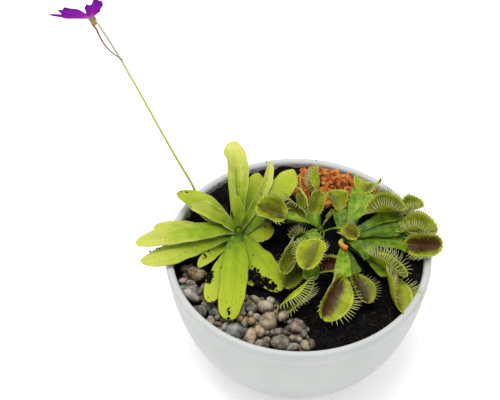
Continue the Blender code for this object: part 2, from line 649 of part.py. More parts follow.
def make_corolla(coat):
    """Five waved lobes round a throat, and the spur behind it, as one closed skin."""
    sides = COROLLA_SIDES
    centre = np.array(flower_centre())
    axis = np.array(FACE)
    first = unit(np.array(LIP - FACE * LIP.dot(FACE)))
    second = np.cross(axis, first)
    angles = np.arange(sides) * 2 * math.pi / sides
    circle = np.cos(angles)[:, None] * first + np.sin(angles)[:, None] * second
    reaches = np.array([lobe_reach(a) for a in angles])

    def ring(reach, forward):
        return centre + circle * np.reshape(reach, (-1, 1)) + axis * np.reshape(forward, (-1, 1))

    def lobe_ring(share, lift):
        reach = THROAT_RADIUS + (reaches - THROAT_RADIUS) * share
        forward = 2.5 * MM + 0.42 * reach + 0.9 * MM * share * np.sin(9 * angles + 0.5)
        return ring(reach, forward + lift)

    # The spur leaves the throat's side, clear of the calyx, and runs back along the stalk
    spur_root = centre + axis * 1.6 * MM + first * 0.8 * MM
    ones = np.ones(sides)
    half = 0.4 * MM
    rings = [ring(ones * THROAT_RADIUS * 0.9, ones * 0.6 * MM), ring(ones * THROAT_RADIUS, ones * 1.8 * MM)]
    rings += [lobe_ring(share, -half) for share in (0.15, 0.55, 1.0)]
    rings += [lobe_ring(share, half) for share in (1.0, 0.55, 0.15)]
    vertices = [centre + axis * 0.3 * MM] + [p for r in rings for p in r] + [centre + axis * 3.4 * MM]
    faces = [(0, 1 + (i + 1) % sides, 1 + i) for i in range(sides)]
    for k in range(len(rings) - 1):
        for a, b, c, d in ring_faces(1 + k * sides, 1 + (k + 1) * sides, sides):
            faces += [(a, b, c), (a, c, d)]
    last = 1 + (len(rings) - 1) * sides
    faces += [(last + i, last + (i + 1) % sides, len(vertices) - 1) for i in range(sides)]
    petals = add_object("flower_corolla", vertices, faces, coat)
    stalk = stalk_line()
    down = unit(stalk[-2] - stalk[-1])
    bend = [spur_root, centre + first * 3.6 * MM - axis * 0.5 * MM]
    line = smooth_line(bend + [stalk[-1] + down * a * MM + first * b * MM for a, b in SPUR_RUN], 12)
    spur = tube_solid("spur", line, np.linspace(SPUR_RADIUS * 1.6, SPUR_RADIUS * 0.6, len(line)), 6, coat)
    return fuse("flower_corolla", [petals, spur])


# Pebbles: river gravel on the soil at the front left. Clay: angular fired pieces at the back
PEBBLE_BED_LOW = 89.6 * MM
PEBBLE_BED_THICK = 1.0 * MM
PEBBLE_FIELD = ((-90, -6), (-72, -8), (-66, -22), (-50, -37), (-37, -41), (-14, -45), (-2, -58), (8, -70),
                (11, -87), (-12, -88), (-34, -82), (-54, -71), (-71, -54), (-83, -33))
PEBBLE_COUNT = 74
PEBBLES_PLACED = (
    (-74, -11, 15, 9, 20), (-76, -29, 16, 10, 0), (-69, -35, 17, 11, -8), (-62, -52, 13, 13, 0),
    (-34, -66, 16, 15, 30), (-22, -65, 8, 17, 10), (-16, -47, 14, 10, 0), (-13, -57, 15, 15, 0),
    (-6, -54, 8, 10, 0), (3, -66, 11, 11, 0), (-9, -73, 15, 11, 15), (-43, -63, 12, 9, 40),
    (-52, -61, 11, 10, 70), (-50, -47, 12, 9, 10), (-58, -36, 13, 10, 60), (-64, -22, 12, 9, 30),
)


def inside_field(x, y, field):
    """True where a point lies inside a closed outline."""
    inside = False
    for (ax, ay), (bx, by) in zip(field, field[1:] + field[:1]):
        if (ay > y) != (by > y) and x < (bx - ax) * (y - ay) / (by - ay) + ax:
            inside = not inside
    return inside


def flat_bed(name, field, low, thick, coat):
    """A thin bed with the outline of a field."""
    count = len(field)
    vertices = [(x * MM, y * MM, z) for z in (low, low + thick) for x, y in field]
    faces = [tuple(range(count))[::-1], tuple(range(count, 2 * count))] + ring_faces(0, count, count)
    return add_object(name, vertices, faces, coat)


def pebble(draw, x, y, size, height, angle, low, coat, detail=2):
    """One rounded stone: a ball pressed oval and made uneven, cut off flat under the bed."""
    work = bmesh.new()
    bmesh.ops.create_icosphere(work, subdivisions=detail, radius=1)
    turn = Euler((0, 0, math.radians(angle))).to_matrix()
    phase = draw.uniform(0, 6, 3)
    for vertex in work.verts:
        p = vertex.co
        lump = 1 + 0.07 * math.sin(3 * p.x + phase[0]) * math.cos(3 * p.y + phase[1])
        lump += 0.05 * math.sin(4 * p.z + phase[2])
        spot = turn @ Vector((p.x * size[0] / 2 * lump, p.y * size[1] / 2 * lump, 0))
        z = low + height * 0.45 + p.z * height / 2 * lump
        vertex.co = (x + spot.x, y + spot.y, max(z, low + 0.5 * MM))
    mesh = bpy.data.meshes.new("pebble")
    work.to_mesh(mesh)
    work.free()
    mesh.materials.append(coat)
    made = bpy.data.objects.new("pebble", mesh)
    bpy.context.collection.objects.link(made)
    return made


def make_pebbles(coat):
    """The bed of pebbles: the big ones placed by hand, and smaller ones scattered between them."""
    draw = np.random.default_rng(7)
    pieces = [flat_bed("pebbles", PEBBLE_FIELD, PEBBLE_BED_LOW, PEBBLE_BED_THICK, coat)]
    for x, y, long, short, angle in PEBBLES_PLACED:
        size = (long * MM, short * MM)
        detail = 2 if long * short > 160 else 1
        height = min(size) * 0.8
        pieces.append(pebble(draw, x * MM, y * MM, size, height, angle, PEBBLE_BED_LOW, coat, detail))
    placed = [(x, y) for x, y, *_ in PEBBLES_PLACED]
    for _ in range(900):
        x = draw.uniform(-88, 10)
        y = draw.uniform(-87, -8)
        if len(placed) >= PEBBLE_COUNT:
            break
        if not inside_field(x, y, PEBBLE_FIELD) or math.hypot(x, y) > 87:
            continue
        if min(math.hypot(x - a, y - b) for a, b in placed) < 6.6:
            continue
        placed.append((x, y))
        size = (draw.uniform(9, 12.5) * MM, draw.uniform(7.5, 10) * MM)
        angle = draw.uniform(0, 180)
        pieces.append(pebble(draw, x * MM, y * MM, size, 6.5 * MM, angle, PEBBLE_BED_LOW, coat, 1))
    return fuse("pebbles", pieces)


CLAY_BED_LOW = 88.5 * MM
CLAY_BED_THICK = 1.5 * MM
CLAY_FIELD = ((-1, 64), (12, 56), (30, 50), (52, 52), (60, 62), (46, 76), (26, 85), (4, 88))
CLAY_PIECES = 34


def make_clay(coat):
    """The heap of angular clay pieces: cut blocks of 5 to 8 mm that lie at all angles."""
    draw = np.random.default_rng(11)
    pieces = [flat_bed("clay_granules", CLAY_FIELD, CLAY_BED_LOW, CLAY_BED_THICK, coat)]
    placed = []
    while len(placed) < CLAY_PIECES:
        x = draw.uniform(-1, 60)
        y = draw.uniform(50, 88)
        if not inside_field(x, y, CLAY_FIELD):
            continue
        if placed and min(math.hypot(x - a, y - b) for a, b in placed) < 3.6:
            continue
        placed.append((x, y))
        work = bmesh.new()
        bmesh.ops.create_cube(work, size=1)
        turn = Euler(tuple(draw.uniform(0, 3, 3))).to_matrix()
        size = Vector((draw.uniform(5, 8), draw.uniform(3.5, 5.5), draw.uniform(3, 4.5))) * MM
        for vertex in work.verts:
            corner = Vector([vertex.co[i] * size[i] * draw.uniform(0.75, 1.15) for i in range(3)])
            corner = turn @ corner
            z = CLAY_BED_LOW + 2.6 * MM + corner.z
            vertex.co = (x * MM + corner.x, y * MM + corner.y, max(z, CLAY_BED_LOW + 0.5 * MM))
        bmesh.ops.triangulate(work, faces=work.faces)
        mesh = bpy.data.meshes.new("granule")
        work.to_mesh(mesh)
        work.free()
        mesh.materials.append(coat)
        piece = bpy.data.objects.new("granule", mesh)
        bpy.context.collection.objects.link(piece)
        pieces.append(piece)
    return fuse("clay_granules", pieces)


def make_cut_stub(top, coat):
    """The short stub of a cut stalk that stands on the main crown."""
    place = FLYTRAP_PLACES[0]
    bends = ((0, 0.6), (0.8, 2.6), (5, 5.5))
    line = np.array([polar_point(place, -100, reach * MM, top + rise * MM) for reach, rise in bends])
    return tube_solid("cut_stub", line, np.array((1.3, 1.7, 1.9)) * MM, 8, coat)


def crown_top(leaves, crown=None):
    """The height of a crown's top, just over its highest leaf."""
    tiers = [leaf.tier for leaf in leaves if crown is None or leaf.crown == crown]
    return CROWN_BASE + (max(tiers) + 1.2) * TIER


def build():
    """Makes every piece of the plant and its bowl."""
    for thing in list(bpy.data.objects):
        bpy.data.objects.remove(thing)
    soil_coat = material("peat", SOIL_BLACK, 0.95)
    butterwort_coat = material("butterwort_leaf", BUTTERWORT_GREEN, 0.45)
    flytrap_coat = material("flytrap_leaf", FLYTRAP_GREEN, 0.45)
    make_bowl(material("bowl", BOWL_WHITE, 0.6))
    make_soil(soil_coat)
    make_pebbles(material("pebble", PEBBLE_GREY, 0.7))
    make_clay(material("fired_clay", CLAY_ORANGE, 0.9))

    top = crown_top(BUTTERWORT_LEAVES)
    crown_solid("butterwort_crown", BUTTERWORT_PLACE, BUTTERWORT_CROWN_RADIUS, CROWN_FOOT, top,
                butterwort_coat, CROWN_SIDES, BUTTERWORT_TAPER)
    for number, leaf in enumerate(BUTTERWORT_LEAVES, 1):
        make_butterwort_leaf(f"butterwort_leaf_{number:02d}", leaf, top, butterwort_coat)
    make_stalk(material("flower_stalk", (0.45, 0.52, 0.10), 0.5))
    make_calyx(material("calyx", (0.40, 0.38, 0.03), 0.5))
    make_corolla(material("petal", PETAL_PURPLE, 0.5))

    tops = [crown_top(FLYTRAP_LEAVES, crown) for crown in (0, 1)]
    for name, place, height in zip(("flytrap_crown_main", "flytrap_crown_side"), FLYTRAP_PLACES, tops):
        crown_solid(name, place, FLYTRAP_CROWN_RADIUS, CROWN_FOOT, height,
                    flytrap_coat, CROWN_SIDES, FLYTRAP_TAPER)
    for leaf in FLYTRAP_LEAVES:
        make_flytrap_leaf(leaf, tops, flytrap_coat)
    old_coat = material("dry_leaf", OLD_LEAF, 0.8)
    for strip in DRY_STRIPS:
        make_dry_strip(strip, old_coat)
    make_cut_stub(tops[0], material("cut_stub", (0.55, 0.22, 0.05), 0.6))


build()
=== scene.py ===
"""Looks of a planted bowl: a butterwort in flower and a Venus flytrap, with gravel and fired clay on black peat.

Metres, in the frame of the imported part: +Z up, origin at the middle of the bowl's base, -Y the front. The script
runs from top to bottom, in the order in which the bowl is filled and planted.
"""

import itertools
import math
from collections import namedtuple

import bpy
import numpy as np
from mathutils import Matrix, Vector


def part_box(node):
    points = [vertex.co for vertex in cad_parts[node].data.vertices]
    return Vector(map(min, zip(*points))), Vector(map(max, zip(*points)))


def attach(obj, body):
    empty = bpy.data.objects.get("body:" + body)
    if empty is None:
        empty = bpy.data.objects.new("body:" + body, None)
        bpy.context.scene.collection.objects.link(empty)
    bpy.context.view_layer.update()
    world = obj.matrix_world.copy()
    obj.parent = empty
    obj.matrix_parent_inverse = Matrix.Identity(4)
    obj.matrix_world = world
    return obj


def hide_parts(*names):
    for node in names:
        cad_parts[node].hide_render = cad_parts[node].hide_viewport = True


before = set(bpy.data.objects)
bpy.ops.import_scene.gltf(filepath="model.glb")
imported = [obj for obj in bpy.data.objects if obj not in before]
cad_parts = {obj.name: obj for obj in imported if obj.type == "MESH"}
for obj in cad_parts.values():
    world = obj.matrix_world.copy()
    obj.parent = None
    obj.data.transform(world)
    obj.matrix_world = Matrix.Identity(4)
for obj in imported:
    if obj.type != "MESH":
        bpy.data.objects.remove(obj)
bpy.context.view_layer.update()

# Bowl
# One slip-cast stoneware bowl in a matt, pale grey-white glaze, with a full side, a small flat foot and a rounded
# rim. The glaze has fine dark specks, and soil has rubbed off on the wall above the planting.
MM = 0.001
bowl_low, bowl_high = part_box("bowl")
RIM_RADIUS = bowl_high.x
BOWL_HEIGHT = bowl_high.z
BASE_RADIUS = 50 * MM
BASE_CORNER = 3 * MM
SIDE_FULLNESS = 1.7
WALL = 6 * MM
WALL_LEAN_MOST = 1.9
FLOOR = 7 * MM
BOWL_SIDES = 180
RIM_BAND = 8.5 * MM
RIM_STEP = 0.7 * MM


def linear(colour):
    """A hex colour in sRGB as linear red, green, blue and alpha."""
    parts = np.array([int(colour[i:i + 2], 16) for i in (1, 3, 5)]) / 255
    parts = np.where(parts <= 0.04045, parts / 12.92, ((parts + 0.055) / 1.055) ** 2.4)
    return (*parts.tolist(), 1.0)


def add_node(tree, kind, inputs=None, **settings):
    """Adds a node. Each input, by name or number, takes a value or a link from another node's socket."""
    node = tree.nodes.new(kind)
    for name, value in settings.items():
        setattr(node, name, value)
    for name, value in (inputs or {}).items():
        if isinstance(value, bpy.types.NodeSocket):
            tree.links.new(value, node.inputs[name])
        else:
            node.inputs[name].default_value = value
    return node


def new_coat(name, **values):
    """A material and its shader, with the shader's constant values set on its own sockets."""
    coat = bpy.data.materials.new(name)
    coat.use_nodes = True
    shader = coat.node_tree.nodes["Principled BSDF"]
    for socket, value in values.items():
        shader.inputs[socket.replace("_", " ")].default_value = value
    return coat, coat.node_tree, shader


def ramp_colours(tree, source, stops):
    """A colour ramp over a source value. stops are (place, hex colour) pairs, from low to high."""
    node = add_node(tree, "ShaderNodeValToRGB", {0: source})
    elements = node.color_ramp.elements
    while len(elements) < len(stops):
        elements.new(0.5)
    for element, (place, colour) in zip(elements, stops):
        element.position = place
        element.color = linear(colour)
    return node.outputs[0]


def mix_colours(tree, share, first, second, blend="MIX"):
    """One colour turned to another by a share. Each colour is a socket or a hex colour."""
    first = linear(first) if isinstance(first, str) else first
    second = linear(second) if isinstance(second, str) else second
    node = add_node(tree, "ShaderNodeMix", {0: share, 6: first, 7: second}, data_type="RGBA", blend_type=blend)
    return node.outputs[2]


def grain(tree, size, detail=2.0, place=None):
    """Noise with lumps of a real size in metres, read from Object coordinates or from a place."""
    if place is None:
        place = add_node(tree, "ShaderNodeTexCoord").outputs["Object"]
    return add_node(tree, "ShaderNodeTexNoise", {"Vector": place, "Scale": 1 / size, "Detail": detail}).outputs[0]


def remap(tree, value, low, high, to_low=0.0, to_high=1.0):
    """A value moved from one range to another and held within it."""
    inputs = {0: value, 1: low, 2: high, 3: to_low, 4: to_high}
    return add_node(tree, "ShaderNodeMapRange", inputs).outputs[0]


def calculate(tree, operation, *values):
    """A sum, product or other simple operation on values."""
    return add_node(tree, "ShaderNodeMath", dict(enumerate(values)), operation=operation).outputs[0]


def bump(tree, shader, height, depth):
    """Raises the surface by a height from 0 to 1 times a real depth in metres."""
    node = add_node(tree, "ShaderNodeBump", {"Height": height, "Distance": depth, "Strength": 1.0})
    tree.links.new(node.outputs[0], shader.inputs["Normal"])


def named_value(tree, name):
    """A value that the mesh carries at each point."""
    return add_node(tree, "ShaderNodeAttribute", attribute_name=name).outputs["Fac"]


def loft(rings):
    """Points and faces of closed skins, each through a stack of rings, with a fan over each of its two ends.

    rings has the shape (skins, rows, points around, 3), or lacks its first number for a single skin.
    """
    rings = rings if rings.ndim == 4 else rings[None]
    skins, rows, around = rings.shape[:3]
    ends = rings[:, [0, -1]].mean(axis=2)
    points = np.concatenate([rings.reshape(skins, rows * around, 3), ends], axis=1)
    index = np.arange(rows * around).reshape(rows, around)
    after = np.roll(index, -1, axis=1)
    quads = np.stack([index[:-1], after[:-1], after[1:], index[1:]], axis=-1).reshape(-1, 4)
    low = np.stack([after[0], index[0], np.full(around, rows * around)], axis=-1)
    high = np.stack([index[-1], after[-1], np.full(around, rows * around + 1)], axis=-1)
    step = np.arange(skins)[:, None, None] * points.shape[1]
    faces = [(part + step).reshape(-1, part.shape[1]) for part in (quads, low, high)]
    return points.reshape(-1, 3), faces


def volume(points, faces):
    """The signed volume inside a closed skin, above zero where its faces point out."""
    total = 0.0
    for part in faces:
        for k in range(1, part.shape[1] - 1):
            a, b, c = points[part[:, 0]], points[part[:, k]], points[part[:, k + 1]]
            total += np.einsum("ij,ij->", a, np.cross(b, c)) / 6
    return total


def add_mesh(name, points, faces, coat, values=None):
    """A smooth mesh object at the origin, with its faces pointing out and a value for each point by name."""
    if volume(points, faces) < 0:
        faces = [part[:, ::-1] for part in faces]
    mesh = bpy.data.meshes.new(name)
    mesh.from_pydata(points, [], [face for part in faces for face in part.tolist()])
    for key, value in (values or {}).items():
        stored = mesh.attributes.new(key, "FLOAT", "POINT")
        stored.data.foreach_set("value", np.broadcast_to(value, len(points)).astype(np.float32))
    mesh.materials.append(coat)
    mesh.shade_smooth()
    piece = bpy.data.objects.new(name, mesh)
    bpy.context.scene.collection.objects.link(piece)
    return piece


def place_piece(piece, slot, *nodes):
    """The piece rides on the one body and stands for the nodes named, which are hidden. Its slot is not used."""
    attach(piece, "root")
    if nodes:
        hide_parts(*nodes)


def bowl_radius(height):
    """The outer radius: a full curve from the upright rim in to the base."""
    drop = np.clip((BOWL_HEIGHT - height) / BOWL_HEIGHT, 0, 1)
    return BASE_RADIUS + (RIM_RADIUS - BASE_RADIUS) * np.sqrt(1 - drop ** SIDE_FULLNESS)


def inner_radius(height):
    """The inner radius: the outer one less a wall that is measured across the slope."""
    slope = (bowl_radius(height + MM) - bowl_radius(height - MM)) / (2 * MM)
    return bowl_radius(height) - WALL * np.minimum(np.hypot(1, slope), WALL_LEAN_MOST)


def by_ring(values, around):
    """A value for each point of a loft, from one for each of its rings."""
    return np.concatenate([np.repeat(values, around), [values[0], values[-1]]])


def turned_rings(profile, sides):
    """Rings about Z from a profile of (radius, height) rows."""
    angle = np.arange(sides) * 2 * np.pi / sides
    profile = np.asarray(profile)[:, None]
    height = np.broadcast_to(profile[..., 1], (len(profile), sides))
    return np.stack([profile[..., 0] * np.cos(angle), profile[..., 0] * np.sin(angle), height], axis=-1)


def bowl_profile():
    """From the foot up the outer side, over the half-round rim and down the inner side, with how far in each is.

    The side steps in a little under the band round the rim, and comes out again lower down.
    """
    foot = [(BASE_RADIUS * 0.3, 0.0), (BASE_RADIUS - BASE_CORNER, 0.0), (BASE_RADIUS - 0.8 * MM, 0.3 * MM)]
    heights = BASE_CORNER + (BOWL_HEIGHT - WALL / 2 - BASE_CORNER) * np.linspace(0, 0.99, 80) ** 1.1
    below = np.maximum(BOWL_HEIGHT - RIM_BAND - heights, 0)
    step = RIM_STEP * (1 - np.exp(-below / (1.2 * MM))) * np.exp(-below / (25 * MM))
    outer = np.stack([bowl_radius(heights) - step, heights], axis=-1)
    turn = np.linspace(0, np.pi, 15)
    rim_middle = RIM_RADIUS - WALL / 2
    rim = np.stack([rim_middle + WALL / 2 * np.cos(turn),
                    BOWL_HEIGHT - WALL / 2 + WALL / 2 * np.sin(turn)], axis=-1)
    down = np.linspace(BOWL_HEIGHT - 8 * MM, 13 * MM, 40)
    inner = np.stack([inner_radius(down), down], axis=-1)
    floor = [(inner[-1, 0] * 0.9, FLOOR), (inner[-1, 0] * 0.3, FLOOR)]
    inward = np.concatenate([np.zeros(len(foot) + len(outer)), turn / np.pi, np.ones(len(inner) + len(floor))])
    return np.vstack([foot, outer, rim, inner, floor]), inward


def make_glaze():
    """Matt stoneware glaze: pale, a little uneven, with dark specks, and soil marks on the wall inside."""
    coat, tree, shader = new_coat("matt_stoneware_glaze", Roughness=0.5, IOR=1.5, Specular_IOR_Level=0.35)
    place = add_node(tree, "ShaderNodeTexCoord").outputs["Object"]
    body = ramp_colours(tree, grain(tree, 30 * MM, 3, place), [(0.3, "#B5B8B5"), (0.7, "#BDBFBD")])
    # Real specks are about 0.3 mm. They are drawn at 0.8 mm so that they show
    speck = remap(tree, grain(tree, 0.8 * MM, 1, place), 0.70, 0.76, 0.0, 0.3)
    body = mix_colours(tree, speck, body, "#7F7C76")
    height = add_node(tree, "ShaderNodeSeparateXYZ", {0: place}).outputs[2]
    # Painted shade: the top of the rim is painted a little darker grey
    body = mix_colours(tree, remap(tree, height, 97.5 * MM, 99.5 * MM, 0.0, 0.25), body, "#A6A9A6")
    inside = remap(tree, named_value(tree, "inward"), 0.80, 0.98)
    low = calculate(tree, "MULTIPLY", inside, remap(tree, height, 98 * MM, 90 * MM))
    stain = calculate(tree, "MULTIPLY", low, remap(tree, grain(tree, 9 * MM, 4, place), 0.35, 0.6))
    body = mix_colours(tree, stain, body, "#8A7462")
    smear = calculate(tree, "MULTIPLY", low, remap(tree, grain(tree, 2.2 * MM, 4, place), 0.52, 0.60))
    body = mix_colours(tree, smear, body, "#2E2119")
    tree.links.new(body, shader.inputs["Base Color"])
    bump(tree, shader, grain(tree, 1.2 * MM, 2, place), 0.03 * MM)
    return coat


bowl_line, bowl_inward = bowl_profile()
bowl = add_mesh("bowl_shell", *loft(turned_rings(bowl_line, BOWL_SIDES)), make_glaze(),
                {"inward": by_ring(bowl_inward, BOWL_SIDES)})
place_piece(bowl, "bowl", "bowl")

# Soil
# Damp black peat that fills the bowl to about 12 mm under the rim, pressed in by hand, with a low mound round
# each plant. Its top is crumbs of 0.5 to 3 mm, short brown fibres and bits of twig.
SOIL_LEVEL = 87 * MM
SOIL_WAVE = 0.6 * MM
SOIL_MOUND = 3.5 * MM
MOUND_SPREAD = 26 * MM
MOUND_FADE = 88 * MM
CROWN_BASE = 92.5 * MM
BUTTERWORT_PLACE = np.array((-45 * MM, 18 * MM, 0))
FLYTRAP_PLACES = (np.array((34.5 * MM, 12.5 * MM, 0)), np.array((17.5 * MM, 24 * MM, 0)))
SOIL_SIDES = 320
SOIL_RINGS = 120
BANK_START = 66 * MM
BANK_HEIGHT = 7.5 * MM
GRAVEL_WAY = math.radians(-125)


def rough(points, size, seed):
    """Smooth random heights from -1 to 1 at points: random numbers on a lattice of a size, eased between."""
    place = np.asarray(points) / size
    corner = np.floor(place).astype(np.int64)
    share = place - corner
    share = share * share * (3 - 2 * share)
    total = 0.0
    for step in itertools.product((0, 1), repeat=3):
        key = (corner + step) @ np.array((73856093, 19349663, 83492791)) + seed * 668265263
        key = (key ^ (key >> 13)) * 1274126177
        key = (key ^ (key >> 16)) & 0xFFFF
        weight = np.prod(np.where(step, share, 1 - share), axis=-1)
        total = total + weight * (key / 32767.5 - 1)
    return total


def soil_rise(x, y):
    """Gentle waves, and a mound under each plant that dies away to the wall."""
    waves = np.sin(x * 95 + 1.3) * np.cos(y * 80 - 0.4) + 0.6 * np.sin(x * 210 - y * 170)
    edge = np.maximum(0, 1 - (np.hypot(x, y) / MOUND_FADE) ** 6)
    mound = 0.0
    for spot in (BUTTERWORT_PLACE, *FLYTRAP_PLACES):
        mound = np.maximum(mound, np.exp(-(np.hypot(x - spot[0], y - spot[1]) / MOUND_SPREAD) ** 2))
    return edge * (SOIL_WAVE * waves * (1 - mound) + SOIL_MOUND * mound)


def soil_top(x, y):
    """The height of the peat: its clods and crumbs, and a bank against the wall all round but at the gravel."""
    flat = np.stack([x, y, np.zeros_like(x)], axis=-1)
    clods = 1.4 * rough(flat, 9 * MM, 4) + 0.9 * rough(flat, 4 * MM, 1)
    crumbs = np.abs(rough(flat, 2.2 * MM, 2)) + 0.5 * rough(flat, 1.1 * MM, 3)
    outward = np.clip((np.hypot(x, y) - BANK_START) / (inner_radius(SOIL_LEVEL) - BANK_START), 0, 1)
    away = np.arctan2(y, x) - GRAVEL_WAY
    bank = BANK_HEIGHT * outward ** 1.6 * np.clip(0.62 - np.cos(away), 0, 1)
    return SOIL_LEVEL + soil_rise(x, y) + bank + (clods + crumbs) * MM


def soil_rings():
    """The body's side a hair inside the bowl, then rings over the top from the wall to the middle."""
    side_heights = np.array([FLOOR + 0.3 * MM, 13 * MM, 26 * MM, 42 * MM, 60 * MM, 74 * MM])
    side_radii = inner_radius(np.maximum(side_heights, 13 * MM)) * np.array([0.9, 1, 1, 1, 1, 1]) - 0.5 * MM
    side = turned_rings(np.stack([side_radii, side_heights], axis=-1), SOIL_SIDES)
    wall = inner_radius(SOIL_LEVEL + BANK_HEIGHT / 2) - 0.1 * MM
    reach = wall * np.linspace(1, 0.004, SOIL_RINGS)
    top = turned_rings(np.stack([reach, np.zeros(SOIL_RINGS)], axis=-1), SOIL_SIDES)
    top[..., 2] = soil_top(top[..., 0], top[..., 1])
    return np.concatenate([side, top])


def make_peat():
    """Damp peat: near black, browner on its crumbs, with dull wet patches."""
    coat, tree, shader = new_coat("damp_peat", IOR=1.4, Specular_IOR_Level=0.15)
    place = add_node(tree, "ShaderNodeTexCoord").outputs["Object"]
    body = ramp_colours(tree, grain(tree, 2.5 * MM, 5, place),
                        [(0.34, "#030202"), (0.56, "#090706"), (0.76, "#1C130E")])
    fleck = remap(tree, grain(tree, 1.0 * MM, 2, place), 0.70, 0.76)
    body = mix_colours(tree, fleck, body, "#3C2C1F")
    tree.links.new(body, shader.inputs["Base Color"])
    tree.links.new(remap(tree, grain(tree, 8 * MM, 2, place), 0.35, 0.65, 0.7, 0.98), shader.inputs["Roughness"])
    bump(tree, shader, grain(tree, 0.9 * MM, 4, place), 0.4 * MM)
    return coat


PEAT = make_peat()
soil = add_mesh("peat", *loft(soil_rings()), PEAT)
place_piece(soil, "soil", "soil")


def unit(rows):
    """Rows of vectors, each scaled to length 1."""
    return rows / np.linalg.norm(rows, axis=-1, keepdims=True)


def turn_matrices(draw, count, tilt):
    """Random turns about Z, each tilted from it by up to an angle in degrees, as (count, 3, 3)."""
    turn = draw.uniform(0, 2 * np.pi, count)
    lean = np.radians(draw.uniform(0, tilt, count))
    toward = draw.uniform(0, 2 * np.pi, count)
    spin = np.zeros((count, 3, 3))
    spin[:, 0, 0] = spin[:, 1, 1] = np.cos(turn)
    spin[:, 1, 0] = np.sin(turn)
    spin[:, 0, 1] = -np.sin(turn)
    spin[:, 2, 2] = 1
    axis = np.stack([np.cos(toward), np.sin(toward), np.zeros(count)], axis=-1)
    cross = np.zeros((count, 3, 3))
    cross[:, 0, 2] = axis[:, 1]
    cross[:, 1, 2] = -axis[:, 0]
    cross[:, 2, 0] = -axis[:, 1]
    cross[:, 2, 1] = axis[:, 0]
    tip = np.eye(3) + np.sin(lean)[:, None, None] * cross + (1 - np.cos(lean))[:, None, None] * cross @ cross
    return tip @ spin


def lumps(draw, centres, sizes, tilt, around=7, rows=4):
    """Small uneven lumps: balls of a few rings, pressed to their sizes and dented at random."""
    count = len(centres)
    fall = np.linspace(0.16, 0.84, rows) * np.pi
    angle = np.arange(around) * 2 * np.pi / around
    ball = np.stack([np.sin(fall)[:, None] * np.cos(angle), np.sin(fall)[:, None] * np.sin(angle),
                     -np.cos(fall)[:, None] * np.ones(around)], axis=-1)
    ball = ball[None] * draw.uniform(0.72, 1.18, (count, rows, around, 1)) * sizes[:, None, None] / 2
    return ball @ np.swapaxes(turn_matrices(draw, count, tilt), 1, 2)[:, None] + centres[:, None, None]


def scatter_on_soil(draw, count, lift):
    """Random places on the peat, lifted a little."""
    reach = (inner_radius(SOIL_LEVEL) - 1.5 * MM) * np.sqrt(draw.uniform(0, 1, count))
    turn = draw.uniform(0, 2 * np.pi, count)
    x, y = reach * np.cos(turn), reach * np.sin(turn)
    return np.stack([x, y, soil_top(x, y) + lift], axis=-1)


soil_draw = np.random.default_rng(21)
crumb_places = scatter_on_soil(soil_draw, 2800, 0.1 * MM)
crumb_sizes = soil_draw.uniform(0.5, 2.4, (2800, 1)) ** 1.3 * soil_draw.uniform(0.6, 1.1, (2800, 3)) * MM
crumbs = add_mesh("peat_crumbs", *loft(lumps(soil_draw, crumb_places, crumb_sizes, 60)), PEAT)
place_piece(crumbs, "soil")


def wall_crumbs(draw, count):
    """Places of crumbs that cling to the wall above the peat, and a few that lie on the rim."""
    turn = np.concatenate([draw.normal(2.4, 0.55, count // 2), draw.uniform(-0.6, 3.6, count - count // 2)])
    height = BOWL_HEIGHT - 1 * MM - 11 * MM * draw.uniform(0, 1, count) ** 0.5
    wall = inner_radius(height) - 0.1 * MM
    on_rim = draw.uniform(0, 1, count) < 0.06
    tilt = draw.uniform(1.3, 2.9, count)
    reach = np.where(on_rim, RIM_RADIUS - WALL / 2 + WALL / 2 * np.cos(tilt), wall)
    height = np.where(on_rim, BOWL_HEIGHT - WALL / 2 + WALL / 2 * np.sin(tilt), height)
    return np.stack([reach * np.cos(turn), reach * np.sin(turn), height], axis=-1)


cling_places = wall_crumbs(soil_draw, 420)
cling_sizes = soil_draw.uniform(0.3, 1.3, (420, 1)) ** 1.4 * soil_draw.uniform(0.6, 1.1, (420, 3)) * MM
cling = add_mesh("peat_specks", *loft(lumps(soil_draw, cling_places, cling_sizes, 90)), PEAT)
place_piece(cling, "soil")


def sticks(draw, centres, lengths, radii, bow):
    """Thin bent sticks that lie about their places: five-sided tubes on an arc, narrowed at both ends."""
    count = len(centres)
    t = np.linspace(-1, 1, 7)
    turn = draw.uniform(0, np.pi, count)
    run = np.stack([np.cos(turn), np.sin(turn), draw.uniform(-0.12, 0.35, count)], axis=-1)
    side = np.stack([-np.sin(turn), np.cos(turn), np.zeros(count)], axis=-1)
    bend = draw.uniform(-bow, bow, count)[:, None, None] * (1 - t ** 2)[None, :, None]
    line = centres[:, None] + (run[:, None] * t[None, :, None] + side[:, None] * bend) * lengths[:, None, None] / 2
    up = np.cross(run, side)
    angle = np.arange(5) * 2 * np.pi / 5
    ring = np.cos(angle)[:, None] * side[:, None] + np.sin(angle)[:, None] * up[:, None]
    narrow = (1 - 0.6 * np.abs(t) ** 3)[None, :, None, None]
    return line[:, :, None] + ring[:, None] * radii[:, None, None, None] * narrow


def make_fibre():
    """Dry peat fibre and twig: brown, paler where it has dried."""
    coat, tree, shader = new_coat("peat_fibre", Roughness=0.85)
    body = ramp_colours(tree, grain(tree, 6 * MM, 2), [(0.35, "#21160F"), (0.6, "#4A3423"), (0.75, "#7A6144")])
    tree.links.new(body, shader.inputs["Base Color"])
    return coat


fibre_places = scatter_on_soil(soil_draw, 170, 0.5 * MM)
fibre_lengths = soil_draw.uniform(3, 10, 170) * MM
fibre_radii = soil_draw.uniform(0.10, 0.28, 170) * MM
fibres = add_mesh("peat_fibres", *loft(sticks(soil_draw, fibre_places, fibre_lengths, fibre_radii, 0.5)), make_fibre())
place_piece(fibres, "soil")

